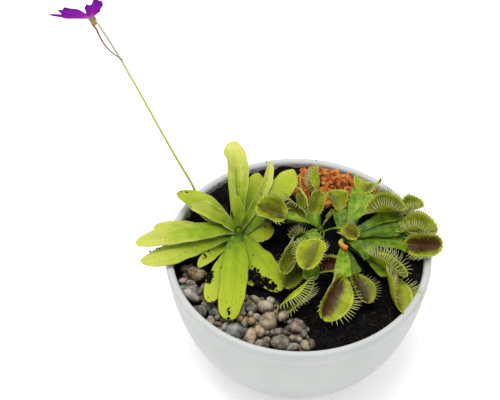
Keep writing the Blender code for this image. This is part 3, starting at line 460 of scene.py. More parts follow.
# Pebbles
# River gravel laid on the peat at the front left: limestone, sandstone, slate and quartz, tumbled smooth, 4 to
# 19 mm long. The top stones are placed as they lie, and smaller ones fill in under and between them.
Stone = namedtuple("Stone", "x y long short turn height colour")
STONES = (
    Stone(-76, -18, 17, 11, -35, 9, "#6B4E2C"), Stone(-86, -24, 7, 5, 40, 5, "#9B8D7E"),
    Stone(-80, -25, 7, 4.5, -5, 4, "#857B6D"), Stone(-82, -33, 17, 8, 0, 7, "#64645E"),
    Stone(-77, -32, 4.5, 4, 0, 8, "#978E80"), Stone(-79, -39, 14, 8.5, -12, 8, "#ABA59D"),
    Stone(-72, -33, 9, 5, 70, 6, "#8F7F6F"), Stone(-83, -47, 8, 6, -40, 6, "#96603F"),
    Stone(-74, -54, 12, 11.5, 0, 9, "#625E55"), Stone(-68, -49, 9.5, 8, -45, 6, "#6C6D65"),
    Stone(-63, -54, 7, 5.5, 30, 6, "#5F6566"), Stone(-70, -63, 7, 5, 20, 5, "#857D6D"),
    Stone(-65, -63, 9, 6.5, 80, 7, "#A0947E"), Stone(-59, -65, 7.5, 4, 10, 5, "#958868"),
    Stone(-60, -59, 4.5, 4, 0, 5, "#9A8A6A"), Stone(-59, -72, 8, 6, -30, 6, "#746B5D"),
    Stone(-54, -68, 9, 5, 65, 7, "#A29A8D"), Stone(-47, -73, 14, 13, 60, 10, "#667070"),
    Stone(-44, -60, 6.5, 4.5, -30, 6, "#AD8462"), Stone(-41, -50, 9, 3.5, 80, 6, "#B0A087"),
    Stone(-63, -43, 6, 3.5, 70, 6, "#BDB198"), Stone(-39, -40, 6, 5, 0, 5, "#6E6B63"),
    Stone(-32, -42, 10, 4.5, -38, 6, "#B2A286"), Stone(-35, -50, 9.5, 8.5, 60, 8, "#5D5C54"),
    Stone(-25, -50, 12, 9.5, 8, 9, "#B2A792"), Stone(-21, -43, 7, 5.5, -30, 6, "#AEA596"),
    Stone(-27, -41, 4, 3, 0, 4, "#4E4C48"), Stone(-31, -58, 6, 5, -30, 5, "#90877A"),
    Stone(-23, -64, 14, 13.5, 45, 11, "#A69276"), Stone(-35, -62, 7, 6.5, 30, 7, "#B99364"),
    Stone(-36, -57, 4.5, 4, 0, 7, "#B0A080"), Stone(-40, -63, 9.5, 4.5, 75, 6, "#B5A384"),
    Stone(-36, -77, 18, 8, 86, 8, "#BEA887"), Stone(-29, -72, 10, 6.5, -60, 7, "#C2A481"),
    Stone(-12, -58, 10, 6.5, 60, 8, "#B7A88A"), Stone(-3, -69, 11, 8.5, -50, 8, "#87735A"),
    Stone(-13, -72, 13, 6, -5, 5, "#565250"), Stone(-20, -72, 4.5, 4, 0, 5, "#89827A"),
    Stone(-24, -73, 4, 3.5, 0, 5, "#7E766A"), Stone(-15, -82, 15, 10.5, -30, 8, "#777064"),
    Stone(-24, -79, 5, 4.5, 0, 5, "#AFA58B"), Stone(-29, -83, 8.5, 6, 30, 6, "#93857A"),
    Stone(-5, -78, 7, 5.5, 0, 6, "#84665A"), Stone(2, -74, 6.5, 5, 70, 6, "#848479"),
    Stone(-1, -79, 4.5, 4, -40, 5, "#A2947A"), Stone(-7, -86, 10, 6, 10, 6, "#948E86"),
    Stone(3, -84, 9, 7.5, -30, 7, "#B2A287"), Stone(7, -83, 9, 6, -70, 6, "#686050"),
    Stone(-46, -80, 5.5, 4, 0, 5, "#A1A798"), Stone(-42, -55, 6.5, 5.5, 0, 6, "#A0917A"),
    Stone(-46, -52, 8, 5, 40, 6, "#8A8172"), Stone(-50, -48, 9, 6, 10, 6, "#9C8F7A"),
    Stone(-56, -41, 8, 6, -20, 6, "#746D62"), Stone(-52, -61, 9, 7, 20, 6, "#8E8574"),
    Stone(-66, -26, 9, 6, 30, 6, "#877966"), Stone(-58, -55, 8, 6, -10, 6, "#7B766B"),
)
PEBBLE_FIELD = ((-90, -6), (-72, -8), (-66, -22), (-50, -37), (-37, -38), (-18, -41), (-3, -56), (7, -70),
                (11, -87), (-12, -88), (-34, -82), (-54, -71), (-71, -54), (-83, -33))
FILL_COLOURS = ("#8C8374", "#6F6D66", "#A89A82", "#7D6C58", "#B5AA96", "#5C5E5C", "#9A7A5C", "#94908A")
FILL_COUNT = 230
STONE_FLATS = 9
STONE_DAMP = 0.66
# The filling stones lie under and between the top stones, and their colours are painted darker by this share, as
# painted shade
FILL_PAINTED_SHADE = 0.72


def inside_field(x, y, field):
    """True where points lie inside a closed outline."""
    inside = np.zeros(len(x), bool)
    for (ax, ay), (bx, by) in zip(field, field[1:] + field[:1]):
        if ay != by:
            inside ^= ((ay > y) != (by > y)) & (x < (bx - ax) * (y - ay) / (by - ay) + ax)
    return inside


def stone_rings(draw, centres, sizes, turns, rows, around):
    """Tumbled stones: ovals with several sides worn flat, round edges between the flats and faint dents."""
    count = len(centres)
    fall = (0.5 - 0.5 * np.cos(np.linspace(0.06, 0.94, rows) * np.pi)) * np.pi
    angle = np.arange(around) * 2 * np.pi / around
    ball = np.stack([np.sin(fall)[:, None] * np.cos(angle), np.sin(fall)[:, None] * np.sin(angle),
                     -np.cos(fall)[:, None] * np.ones(around)], axis=-1)
    spots = ball[None] * 0.55 + draw.uniform(0, 50, (count, 1, 1, 3))
    ways = unit(draw.normal(0, 1, (count, STONE_FLATS, 3)))
    depths = draw.uniform(0.68, 1.0, (count, STONE_FLATS, 1, 1))
    facing = np.maximum(np.einsum("rac,nkc->nkra", ball, ways), 0) / depths
    cut = 1.12 * (1 + np.sum(facing ** 14, axis=1)) ** (-1 / 14)
    dents = 1 + 0.06 * rough(spots, 0.6, 5)
    ball = ball[None] * (cut * dents)[..., None] * sizes[:, None, None] / 2
    cos, sin = np.cos(turns), np.sin(turns)
    x = ball[..., 0] * cos[:, None, None] - ball[..., 1] * sin[:, None, None]
    y = ball[..., 0] * sin[:, None, None] + ball[..., 1] * cos[:, None, None]
    lean = draw.uniform(-0.22, 0.22, (count, 1, 1))
    return np.stack([x, y, ball[..., 2] + x * lean], axis=-1) + centres[:, None, None]


def make_stone():
    """Tumbled gravel: each stone has its own colour, with mineral grain and clouded bands, and painted shade on its
    lower sides.
    """
    coat, tree, shader = new_coat("tumbled_river_stone", IOR=1.5, Specular_IOR_Level=0.35)
    place = add_node(tree, "ShaderNodeTexCoord").outputs["Object"]
    body = add_node(tree, "ShaderNodeAttribute", attribute_name="stone_colour").outputs["Color"]
    cloud = grain(tree, 4 * MM, 4, place)
    body = mix_colours(tree, remap(tree, cloud, 0.45, 0.7, 0.0, 0.3), body, "#D6C8A8")
    body = mix_colours(tree, remap(tree, cloud, 0.55, 0.35, 0.0, 0.45), body, "#5A4E42", "MULTIPLY")
    # Painted shade: each stone is painted darker from a little above its middle down to its underside, nearly black at
    # the bottom
    low = remap(tree, named_value(tree, "along"), 0.68, 0.25, 0.0, 0.97)
    body = mix_colours(tree, low, body, "#241C16", "MULTIPLY")
    mineral = grain(tree, 0.7 * MM, 2, place)
    body = mix_colours(tree, remap(tree, mineral, 0.62, 0.72, 0.0, 0.4), body, "#DDD6C8")
    body = mix_colours(tree, remap(tree, mineral, 0.36, 0.28, 0.0, 0.45), body, "#3A352E")
    tree.links.new(body, shader.inputs["Base Color"])
    tree.links.new(remap(tree, grain(tree, 6 * MM, 2, place), 0.3, 0.7, 0.5, 0.8), shader.inputs["Roughness"])
    bump(tree, shader, grain(tree, 0.9 * MM, 5, place), 0.12 * MM)
    return coat


def add_stones(name, rings, colours, coat):
    """Stones in one mesh, with each stone's colour carried at its points."""
    height = by_ring(np.linspace(0, 1, rings.shape[1]), rings.shape[2])
    piece = add_mesh(name, *loft(rings), coat, {"along": np.tile(height, len(rings))})
    stored = piece.data.attributes.new("stone_colour", "FLOAT_COLOR", "POINT")
    every = np.repeat(colours * STONE_DAMP, len(piece.data.vertices) // len(rings), axis=0)
    stored.data.foreach_set("color", every.astype(np.float32).ravel())
    return piece


stone_draw = np.random.default_rng(5)
stone_coat = make_stone()
stone_xy = np.array([(s.x, s.y) for s in STONES]) * MM
stone_sizes = np.array([(s.long, s.short, s.height) for s in STONES]) * MM
stone_bed = SOIL_LEVEL + 2.6 * MM
stone_centres = np.column_stack([stone_xy, stone_bed + 0.42 * stone_sizes[:, 2]])
stone_turns = np.radians([s.turn for s in STONES])
stone_colours = np.array([linear(s.colour) for s in STONES])
top_rings = stone_rings(stone_draw, stone_centres, stone_sizes, stone_turns, 18, 28)
top_stones = add_stones("pebbles_top", top_rings, stone_colours, stone_coat)
place_piece(top_stones, "pebble", "pebbles")

fill_tries = np.column_stack([stone_draw.uniform(-90, 12, 1500), stone_draw.uniform(-89, -6, 1500)])
fill_tries = fill_tries[inside_field(fill_tries[:, 0], fill_tries[:, 1], PEBBLE_FIELD)][:FILL_COUNT] * MM
fill_sizes = stone_draw.uniform(3.5, 8, (len(fill_tries), 1)) * stone_draw.uniform((0.9, 0.65, 0.5), (1.1, 0.9, 0.75),
                                                                              (len(fill_tries), 3)) * MM
fill_lift = stone_draw.uniform(-0.4, 1.6, len(fill_tries)) * MM
fill_centres = np.column_stack([fill_tries, SOIL_LEVEL + 1.4 * MM + fill_lift])
fill_colours = np.array([linear(c) for c in FILL_COLOURS])[stone_draw.integers(0, len(FILL_COLOURS), len(fill_tries))]
fill_turns = stone_draw.uniform(0, np.pi, len(fill_tries))
fill_rings = stone_rings(stone_draw, fill_centres, fill_sizes, fill_turns, 10, 16)
# The filling stones are painted darker, as painted shade in the gaps between the top stones
fill_stones = add_stones("pebbles_fill", fill_rings, fill_colours * FILL_PAINTED_SHADE, stone_coat)
place_piece(fill_stones, "pebble")

# Clay
# Broken unglazed fired clay, heaped on the peat at the back right: angular splinters and blocks of 3 to 10 mm,
# bright orange, dusty, with fresh and weathered faces.
CLAY_FIELD = ((-1, 64), (12, 56), (30, 50), (52, 50), (64, 62), (49, 75), (28, 85), (4, 89))
CLAY_COUNT = 190
CLAY_BED = 91.2 * MM


def shard_rings(draw, centres, sizes):
    """Broken blocks: boxes with four uneven corners at each of four levels, the end levels drawn in."""
    count = len(centres)
    corners = np.array(((1, 1), (0.1, 1.1), (-1, 1), (-1.1, 0), (-1, -1), (0, -1.1), (1, -1), (1.1, 0.1)))
    levels = np.array((-1, -0.82, 0.0, 0.82, 1))
    draw_in = np.array((0.72, 1.0, 1.06, 1.0, 0.68))
    box = np.concatenate([np.broadcast_to(corners[None] * draw_in[:, None, None], (5, 8, 2)),
                          np.broadcast_to(levels[:, None, None], (5, 8, 1))], axis=-1)
    corner_shift = draw.uniform(0.72, 1.15, (count, 1, 8, 3))
    box = box[None] * corner_shift * draw.uniform(0.94, 1.06, (count, 5, 8, 3)) * sizes[:, None, None] / 2
    return box @ np.swapaxes(turn_matrices(draw, count, 100), 1, 2)[:, None] + centres[:, None, None]


def make_fired_clay():
    """Unglazed fired clay: orange, chalky, darker in its pores and paler where dust lies."""
    coat, tree, shader = new_coat("fired_clay", Roughness=0.92)
    place = add_node(tree, "ShaderNodeTexCoord").outputs["Object"]
    body = ramp_colours(tree, grain(tree, 5 * MM, 4, place),
                        [(0.32, "#84400F"), (0.5, "#B4681C"), (0.66, "#D29450")])
    body = mix_colours(tree, remap(tree, grain(tree, 0.8 * MM, 2, place), 0.58, 0.68, 0.0, 0.6), body, "#6E3012")
    tree.links.new(body, shader.inputs["Base Color"])
    bump(tree, shader, grain(tree, 0.7 * MM, 4, place), 0.25 * MM)
    return coat


clay_draw = np.random.default_rng(11)
clay_tries = np.column_stack([clay_draw.uniform(-2, 65, 900), clay_draw.uniform(49, 89, 900)])
clay_tries = clay_tries[inside_field(clay_tries[:, 0], clay_tries[:, 1], CLAY_FIELD)][:CLAY_COUNT] * MM
clay_sizes = clay_draw.uniform((2.8, 2.2, 4.5), (5.8, 4.4, 11.0), (len(clay_tries), 3)) * MM
clay_lift = clay_draw.uniform(0, 5.0, len(clay_tries)) * MM
clay_bank = 4 * MM * np.clip((np.linalg.norm(clay_tries, axis=1) - 74 * MM) / (14 * MM), 0, 1)
clay_centres = np.column_stack([clay_tries, CLAY_BED + clay_lift + clay_bank])
clay = add_mesh("clay_pieces", *loft(shard_rings(clay_draw, clay_centres, clay_sizes)), make_fired_clay())
clay.data.set_sharp_from_angle(angle=math.radians(32))
place_piece(clay, "fired_clay", "clay_granules")

# Butterwort
# A rosette of seventeen soft, fleshy strap leaves on a short crown. They are yellow-green, with edges that roll
# up a little and turn pale, and a wet look from tiny glands of glue all over their tops.
TIER = 1.25 * MM
LEAF_THICKNESS = 0.9 * MM
WIDEST = 0.64
CUP_CURL = 0.6
# The first leaf's left margin is folded in over its face, by this many degrees
FOLDED_LEAF = 1
FOLD = 172
FOLD_WIDENS = 0.5
# edge is how far the margins roll up, in degrees, blush how pale and pink they are, and tip how blunt the end is
ButterwortLeaf = namedtuple("ButterwortLeaf",
                            "tier azimuth reach height width bow sway roll cup edge blush tip pale")
BUTTERWORT_LEAVES = (
    ButterwortLeaf(6, 94, 57, 47, 20, 7, 0, 0, 14, 55, 0.6, 1.8, 1.0),
    ButterwortLeaf(8, 92, 13, 32, 11, 1, 0, 0, 22, 30, 0.3, 1.1, 0.0),
    ButterwortLeaf(3, 71, 47, 25, 15, 4, 0, 10, -10, 20, 0.1, 2.4, 0.1),
    ButterwortLeaf(5, 63, 54, 34, 10, 3, -5, 25, 24, 80, 0.9, 1.8, 0.8),
    ButterwortLeaf(1, 47, 62, 28, 23, 9, -3, 0, -20, -20, 0.3, 2.6, 0.1),
    ButterwortLeaf(0, 2, 27, 8, 20, 3, 0, 0, -10, 20, 0.1, 2.0, 0.0),
    ButterwortLeaf(3, -59, 61, -1, 25, 4, 0, 0, -14, 10, 0.1, 2.0, 0.0),
    ButterwortLeaf(0, -75, 49, -1, 19, 2, 0, 0, -12, 25, 0.1, 1.6, 0.0),
    ButterwortLeaf(5, -94, 87, 8, 22, 8, 0, 0, -16, 20, 0.1, 2.6, 0.0),
    ButterwortLeaf(1, -107, 72, 6, 16, 4, 0, 0, -8, 30, 0.2, 2.0, 0.1),
    ButterwortLeaf(0, -131, 45, 4, 13, 1, 0, 0, 24, 70, 0.3, 2.4, 0.2),
    ButterwortLeaf(4, -154, 80, 12, 21, 4, 0, 0, -16, 15, 0.2, 2.4, 0.5),
    ButterwortLeaf(6, -165, 79, 16, 20, 9, 0, 0, -14, 30, 0.5, 2.4, 0.7),
    ButterwortLeaf(1, -180, 64, 11, 15, 3, 0, 0, 0, 30, 0.5, 2.2, 0.5),
    ButterwortLeaf(7, 164, 38, 24, 18, 1, 0, -10, 30, 110, 1.0, 1.5, 0.6),
    ButterwortLeaf(5, 150, 55, 20, 16, 7, -2, -22, -14, 30, 0.3, 1.2, 0.1),
    ButterwortLeaf(0, 143, 38, 4, 9, 1, 0, 0, 5, 25, 0.3, 2.0, 0.1),
)


def polar_point(place, azimuth, reach, height):
    """The point at an azimuth, reach and height from a place."""
    angle = math.radians(azimuth)
    return np.array((place[0] + reach * math.cos(angle), place[1] + reach * math.sin(angle), height))


def bowed_line(root, tip, bow, sway, steps):
    """A smooth line from root to tip whose middle is raised by the bow and carried left by the sway."""
    run = unit(tip - root)
    left = unit(np.cross((0, 0, 1), run))
    control = (root + tip) / 2 + 2 * (np.array((0, 0, bow)) + left * sway)
    t = np.asarray(steps)[:, None]
    return (1 - t) ** 2 * root + 2 * t * (1 - t) * control + t ** 2 * tip


def rolled_ups(line, roll):
    """The upward direction across a line at each station, turned about it to the right by the roll."""
    along = unit(np.gradient(line, axis=0))
    up = unit(np.array((0, 0, 1)) - along * along[:, 2:3])
    side = np.cross(along, up)
    angle = np.radians(roll)
    return up * np.cos(angle) + side * np.sin(angle)


def blade_skin(line, ups, half_widths, bends, thick, sweep=0.0):
    """The closed skin of a blade, where each of its points lies on it, its middle sheet, and that sheet's normals.

    bends gives each half's angle to the side, by half, station and step. A half's points are summed from equal
    steps along that angle. thick is the thickness by station and column. It is nothing at the two margins, where
    the upper and under side meet. sweep carries points on along the blade.
    """
    along = unit(np.gradient(line, axis=0))
    side = unit(np.cross(along, ups))
    up = np.cross(side, along)
    steps = bends.shape[2]
    widths = np.broadcast_to(half_widths, bends.shape[:2])[..., None]
    out = np.cumsum(np.cos(bends), axis=2) / steps * widths
    rise = np.cumsum(np.sin(bends), axis=2) / steps * widths
    at_points = np.concatenate([bends[:, :, :1], (bends[:, :, :-1] + bends[:, :, 1:]) / 2, bends[:, :, -1:]], axis=2)
    grids, normals = [], []
    for half, sign in ((0, -1), (1, 1)):
        zero = np.zeros((len(line), 1))
        across = np.concatenate([zero, out[half]], axis=1)[..., None] * side[:, None] * sign
        raised = np.concatenate([zero, rise[half]], axis=1)[..., None] * up[:, None]
        grids.append(line[:, None] + across + raised)
        angle = at_points[half][..., None]
        normals.append(up[:, None] * np.cos(angle) - side[:, None] * np.sin(angle) * sign)
    middle_normal = unit(normals[0][:, :1] + normals[1][:, :1])
    grid = np.concatenate([grids[0][:, :0:-1], grids[1]], axis=1)
    grid = grid + along[:, None] * np.broadcast_to(sweep, grid.shape[:2])[..., None]
    normal = np.concatenate([normals[0][:, :0:-1], middle_normal, normals[1][:, 1:]], axis=1)
    upper = grid + normal * thick[..., None] / 2
    under = (grid - normal * thick[..., None] / 2)[:, -2:0:-1]
    share = np.linspace(-1, 1, 2 * steps + 1)
    across = np.concatenate([share, share[-2:0:-1]])
    below = np.concatenate([np.zeros(len(share)), np.ones(len(share) - 2)])
    return np.concatenate([upper, under], axis=1), across, below, grid, normal


def spread_values(rings, across, below, along):
    """The across, below and along values for every point of a blade's skin and its two end points."""
    rows = len(rings)
    return {"across": np.concatenate([np.tile(across, rows), [0, 0]]),
            "below": np.concatenate([np.tile(below, rows), [0, 0]]),
            "along": by_ring(along, len(across))}


def strap_width(share, blunt):
    """A strap leaf's width along its length: narrow at the root, widest past the middle, round at the tip."""
    root = 0.34 + 0.66 * np.sin(np.minimum(share / 0.55, 1) * np.pi / 2)
    past = np.maximum(share - WIDEST, 0) / (1 - WIDEST)
    return np.maximum(root * np.maximum(1 - past ** blunt, 0) ** (1 / 2.1), 0.03)


def strap_leaf(number, leaf):
    """One strap leaf: its line is raised at the middle, its halves cup up or down and its margins roll."""
    rows, steps = 72, 14
    share = np.sin(np.linspace(0, 1, rows) * np.pi / 2)
    root = polar_point(BUTTERWORT_PLACE, leaf.azimuth, 2.5 * MM, CROWN_BASE + (leaf.tier + 0.5) * TIER)
    tip = polar_point(BUTTERWORT_PLACE, leaf.azimuth, leaf.reach * MM, CROWN_BASE + (leaf.height + 1.5) * MM)
    line = bowed_line(root, tip, leaf.bow * MM, leaf.sway * MM, share)
    wander = np.sin(share * 5 + number * 1.9) * share * (1 - share) * 2 * MM
    line = line + unit(np.cross((0, 0, 1), tip - root)) * wander[:, None]
    ease = np.minimum(share / 0.4, 1)[:, None]
    ups = unit(rolled_ups(line, 0) * (1 - ease) + rolled_ups(line, leaf.roll) * ease)
    step = (np.arange(steps) + 0.5) / steps
    fold = np.radians(leaf.cup) * np.minimum(share / 0.3, 1)
    channel = np.radians(34) * np.exp(-share / 0.15)
    margin = np.radians(leaf.edge) * np.clip((step - 0.70) / 0.30, 0, 1) ** 2
    widths, bends = np.zeros((2, rows)), np.zeros((2, rows, steps))
    for half in (0, 1):
        uneven = 1 + 0.07 * np.sin(share * 7 + number * 1.3 + half * 2) + 0.025 * np.sin(share * 31 + number + half)
        widths[half] = np.maximum(strap_width(share, leaf.tip) * uneven * leaf.width / 2 * MM, 0.25 * MM)
        swing = 0.62 + 0.38 * np.sin(share * 11 + number * 2.1 + half * 2.5)
        wave = np.radians(9) * np.sin(share * 16 + number + half * 3) * np.minimum(share / 0.3, 1)
        bends[half] = (fold[:, None] * (1 + CUP_CURL * step) + channel[:, None] * (1 - step)
                       + wave[:, None] * step ** 2 + margin * (swing * np.minimum(share / 0.15, 1))[:, None])
    if number == FOLDED_LEAF:
        folded = np.interp(share, (0.10, 0.3, 0.56, 0.8), (0, 1, 1, 0))
        bends[0] += np.radians(FOLD) * folded[:, None] * np.clip((step - 0.40) / 0.22, 0, 1)
        widths[0] *= 1 + FOLD_WIDENS * folded
    column = np.abs(np.linspace(-1, 1, 2 * steps + 1))
    body = 0.8 + 1.1 * np.exp(-share / 0.2)
    thick = LEAF_THICKNESS * body[:, None] * (1 - column ** 8) ** 0.5 * (1 - 0.3 * column)
    thick = thick + 0.5 * MM * np.exp(-(column / 0.10) ** 2) * (1 - share)[:, None]
    spots = np.stack(np.broadcast_arrays(share[:, None] * 60 * MM, column * 8 * MM, number * 9 * MM), axis=-1)
    dents = rough(spots, 5 * MM, number)
    thick = thick + 0.22 * MM * dents * np.sqrt(1 - column ** 2)
    rings, across, below, grid, normal = blade_skin(line, ups, widths, bends, np.maximum(thick, 0))
    return (*loft(rings), spread_values(rings, across, below, share)), grid, normal


def make_butterwort_skin():
    """Butterwort leaf: soft flesh that light passes into, glands that glisten, and pale rolled margins."""
    coat, tree, shader = new_coat("butterwort_leaf", IOR=1.38, Specular_IOR_Level=0.3, Subsurface_Weight=0.15,
                                  Subsurface_Scale=0.0015, Subsurface_Radius=(0.7, 1.0, 0.2))
    place = add_node(tree, "ShaderNodeTexCoord").outputs["Object"]
    along = named_value(tree, "along")
    across = calculate(tree, "ABSOLUTE", named_value(tree, "across"))
    mottle = grain(tree, 8 * MM, 4, place)
    spread = calculate(tree, "ADD", along, calculate(tree, "MULTIPLY", calculate(tree, "SUBTRACT", mottle, 0.5), 0.7))
    # Painted shade: the ramp starts at dark green at the roots, where the leaves crowd together in the middle of the
    # rosette
    body = ramp_colours(tree, spread, [(0.0, "#2F4A0A"), (0.09, "#56740B"), (0.22, "#7A930E"), (0.5, "#90A511"), (0.95, "#A3AF1D")])
    pale = calculate(tree, "MULTIPLY", named_value(tree, "pale"), remap(tree, spread, 0.35, 1.0))
    body = mix_colours(tree, pale, body, "#CFCE6C")
    # Painted shade: a darker green along the midrib, strongest towards the root
    painted_midrib_shade = calculate(tree, "MULTIPLY", remap(tree, across, 0.0, 0.35, 0.5, 0.0), remap(tree, along, 0.95, 0.3))
    body = mix_colours(tree, painted_midrib_shade, body, "#587A0C")
    blush = named_value(tree, "blush")
    edge = calculate(tree, "MULTIPLY", remap(tree, across, 0.82, 1.0, 0.0, 0.8), blush)
    body = mix_colours(tree, edge, body, "#D6CB8C")
    flush = calculate(tree, "MULTIPLY", calculate(tree, "MULTIPLY", remap(tree, mottle, 0.50, 0.64, 0.0, 0.35), blush),
                      remap(tree, across, 0.35, 0.85))
    body = mix_colours(tree, flush, body, "#B08458")
    vein_place = add_node(tree, "ShaderNodeCombineXYZ", {
        0: calculate(tree, "MULTIPLY", named_value(tree, "across"), 14.0),
        1: calculate(tree, "MULTIPLY", along, 3.0)}).outputs[0]
    vein = grain(tree, 1.0, 2, vein_place)
    body = mix_colours(tree, remap(tree, vein, 0.50, 0.66, 0.0, 0.35), body, "#6C8A0A")
    body = mix_colours(tree, calculate(tree, "MULTIPLY", named_value(tree, "below"), 0.4), body, "#A4AE4C")
    # Real glands are about 0.15 mm. They are drawn at 0.5 mm so that the glisten shows
    glands = add_node(tree, "ShaderNodeTexVoronoi", {"Vector": place, "Scale": 1 / (0.5 * MM)}).outputs[0]
    body = mix_colours(tree, remap(tree, glands, 0.30, 0.05, 0.0, 0.35), body, "#D2D48A")
    fleck = remap(tree, grain(tree, 1.8 * MM, 3, place), 0.66, 0.72, 0.0, 0.75)
    body = mix_colours(tree, fleck, body, "#4E4B12")
    ragged = calculate(tree, "ADD", named_value(tree, "soiled"), calculate(
        tree, "MULTIPLY", calculate(tree, "SUBTRACT", grain(tree, 3 * MM, 4, place), 0.5), 1.6))
    body = mix_colours(tree, remap(tree, ragged, 0.5, 0.6, 0.0, 0.95), body, "#120C08")
    tree.links.new(body, shader.inputs["Base Color"])
    tree.links.new(remap(tree, glands, 0.05, 0.5, 0.34, 0.62), shader.inputs["Roughness"])
    folds = calculate(tree, "ADD", calculate(tree, "MULTIPLY", vein, 0.8), calculate(tree, "MULTIPLY", glands, -0.4))
    bump(tree, shader, folds, 0.45 * MM)
    return coat


# Peat that has fallen on the leaves, in clumps: the leaf's number, the crumbs, the clump's middle as shares along
# and across the leaf, how far it spreads along it, and how large its crumbs are
Clump = namedtuple("Clump", "leaf count along across spread size")
LEAF_DIRT = (
    Clump(1, 4, 0.30, 0.0, 0.12, 0.8), Clump(4, 3, 0.45, -0.6, 0.10, 0.8), Clump(5, 5, 0.50, 0.2, 0.20, 0.8),
    Clump(6, 16, 0.85, -0.3, 0.10, 1.1), Clump(7, 90, 0.66, 0.85, 0.07, 1.9), Clump(7, 60, 0.86, 0.60, 0.06, 1.8),
    Clump(7, 10, 0.50, 0.0, 0.25, 0.9), Clump(8, 80, 0.74, 0.35, 0.06, 1.9), Clump(8, 50, 0.92, -0.3, 0.05, 1.6),
    Clump(8, 10, 0.50, 0.0, 0.20, 0.9), Clump(9, 18, 0.93, 0.15, 0.03, 1.2), Clump(9, 12, 0.80, 0.0, 0.20, 0.7),
    Clump(10, 50, 0.70, 0.70, 0.04, 1.6), Clump(10, 12, 0.50, 0.0, 0.25, 0.8), Clump(11, 16, 0.72, 0.45, 0.06, 1.1),
    Clump(12, 8, 0.72, 0.90, 0.15, 0.8), Clump(13, 3, 0.80, 0.0, 0.15, 0.6), Clump(15, 4, 0.85, -0.8, 0.08, 0.9),
    Clump(16, 6, 0.90, 0.60, 0.08, 0.9),
)


def dirt_on_leaf(draw, grid, normal, clump):
    """Places on a leaf's upper face, about the clump's middle, and how large each crumb is."""
    along = np.clip(draw.normal(clump.along, clump.spread, clump.count), 0.08, 0.99)
    across = np.clip(draw.normal(clump.across, clump.spread * 3.5, clump.count), -1, 1)
    rows = np.round((len(grid) - 1) * np.arcsin(along) / (np.pi / 2)).astype(int)
    columns = np.round((grid.shape[1] - 1) * (across + 1) / 2).astype(int)
    jitter = draw.uniform(-0.5, 0.5, (clump.count, 3)) * np.array((1, 1, 0)) * MM
    places = grid[rows, columns] + normal[rows, columns] * LEAF_THICKNESS * 0.6 + jitter
    return places, np.full(clump.count, clump.size)


def soil_film(number, values):
    """How thickly wet peat is smeared at each point of a leaf: most in the middle of its large clumps."""
    film = 0.0
    for clump in LEAF_DIRT:
        if clump.leaf == number and clump.count >= 50:
            along = (values["along"] - clump.along) / (clump.spread * 1.9)
            across = (values["across"] - clump.across) / (clump.spread * 6)
            film = np.maximum(film, np.exp(-along ** 2 - across ** 2))
    return film * (1 - values["below"])


butterwort_skin = make_butterwort_skin()
leaf_sheets = {}
for number, leaf in enumerate(BUTTERWORT_LEAVES, 1):
    (points, faces, values), *leaf_sheets[number] = strap_leaf(number, leaf)
    values = {**values, "blush": leaf.blush, "pale": leaf.pale, "soiled": soil_film(number, values)}
    piece = add_mesh(f"butterwort_blade_{number:02d}", points, faces, butterwort_skin, values)
    place_piece(piece, "butterwort_leaf", f"butterwort_leaf_{number:02d}")

dirt_draw = np.random.default_rng(33)
dirt_found = [dirt_on_leaf(dirt_draw, *leaf_sheets[clump.leaf], clump) for clump in LEAF_DIRT]
dirt_places = np.vstack([places for places, _ in dirt_found])
dirt_scale = np.concatenate([scale for _, scale in dirt_found])[:, None]
dirt_sizes = dirt_scale * (0.35 + 1.5 * dirt_draw.uniform(0, 1, (len(dirt_places), 1)) ** 2) * dirt_draw.uniform(
    (0.8, 0.8, 0.45), (1.3, 1.3, 0.7), (len(dirt_places), 3)) * MM
dirt = add_mesh("peat_on_leaves", *loft(lumps(dirt_draw, dirt_places, dirt_sizes, 30)), PEAT)
place_piece(dirt, "soil")


def crown_rings(place, radius, top):
    """A crown: a short stub that swells a little over the peat and closes to a blunt point."""
    heights = np.array((80 * MM, CROWN_BASE - 3 * MM, CROWN_BASE, CROWN_BASE + 0.4 * (top - CROWN_BASE), top - 2 * MM,
                        top - 0.6 * MM, top))
    shares = np.array((0.9, 0.95, 0.97, 0.85, 0.6, 0.35, 0.12))
    rings = turned_rings(np.stack([radius * shares, heights], axis=-1), 24)
    wave = 1 + 0.10 * np.cos(5 * np.arange(24) * 2 * np.pi / 24)
    rings[..., :2] *= wave[None, :, None]
    return rings + np.array((place[0], place[1], 0))


butterwort_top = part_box("butterwort_crown")[1].z
# The heart takes the darkest green of the leaf ramp, as painted shade in the middle of the rosette
butterwort_crown = add_mesh("butterwort_heart", *loft(crown_rings(BUTTERWORT_PLACE, 3.8 * MM, butterwort_top)),
                            butterwort_skin,
                            {"across": 0.0, "below": 0.0, "along": -0.2, "blush": 0.0, "pale": 0.0, "soiled": 0.0})
place_piece(butterwort_crown, "butterwort_leaf", "butterwort_crown")

# Flower
# One tall, thin stalk carries one flower. Five soft purple lobes with wavy edges stand round a pale pink throat,
# a green cup holds them, and a long thin spur runs back along the stalk.
STALK_POINTS = ((-3.6, 5.8, -8), (-3.7, 6, -2), (-6, 10, 4), (-13, 18, 7), (-23.5, 26.5, 9), (-32, 30, 18),
                (-36.4, 29.5, 32), (-45.7, 27.5, 58), (-56.8, 26, 90), (-69.4, 27, 124), (-82.1, 27, 158),
                (-91.2, 25.6, 181.5), (-95.6, 26.2, 190))
STALK_ROOT_RADIUS = 1.2 * MM
STALK_TIP_RADIUS = 0.75 * MM
FACE = unit(np.array((-0.50, 0.62, 0.60)))
LIP = np.array((-0.87, -0.30, -0.22))
# The cup hangs from the stalk, its foot a little lower than the stalk's end
CUP_FOOT = np.array((0.2, -1.2, -3.0)) * MM
CALYX_LENGTH = 5 * MM
CALYX_RADIUS = 2.0 * MM
GAP = 0.3 * MM


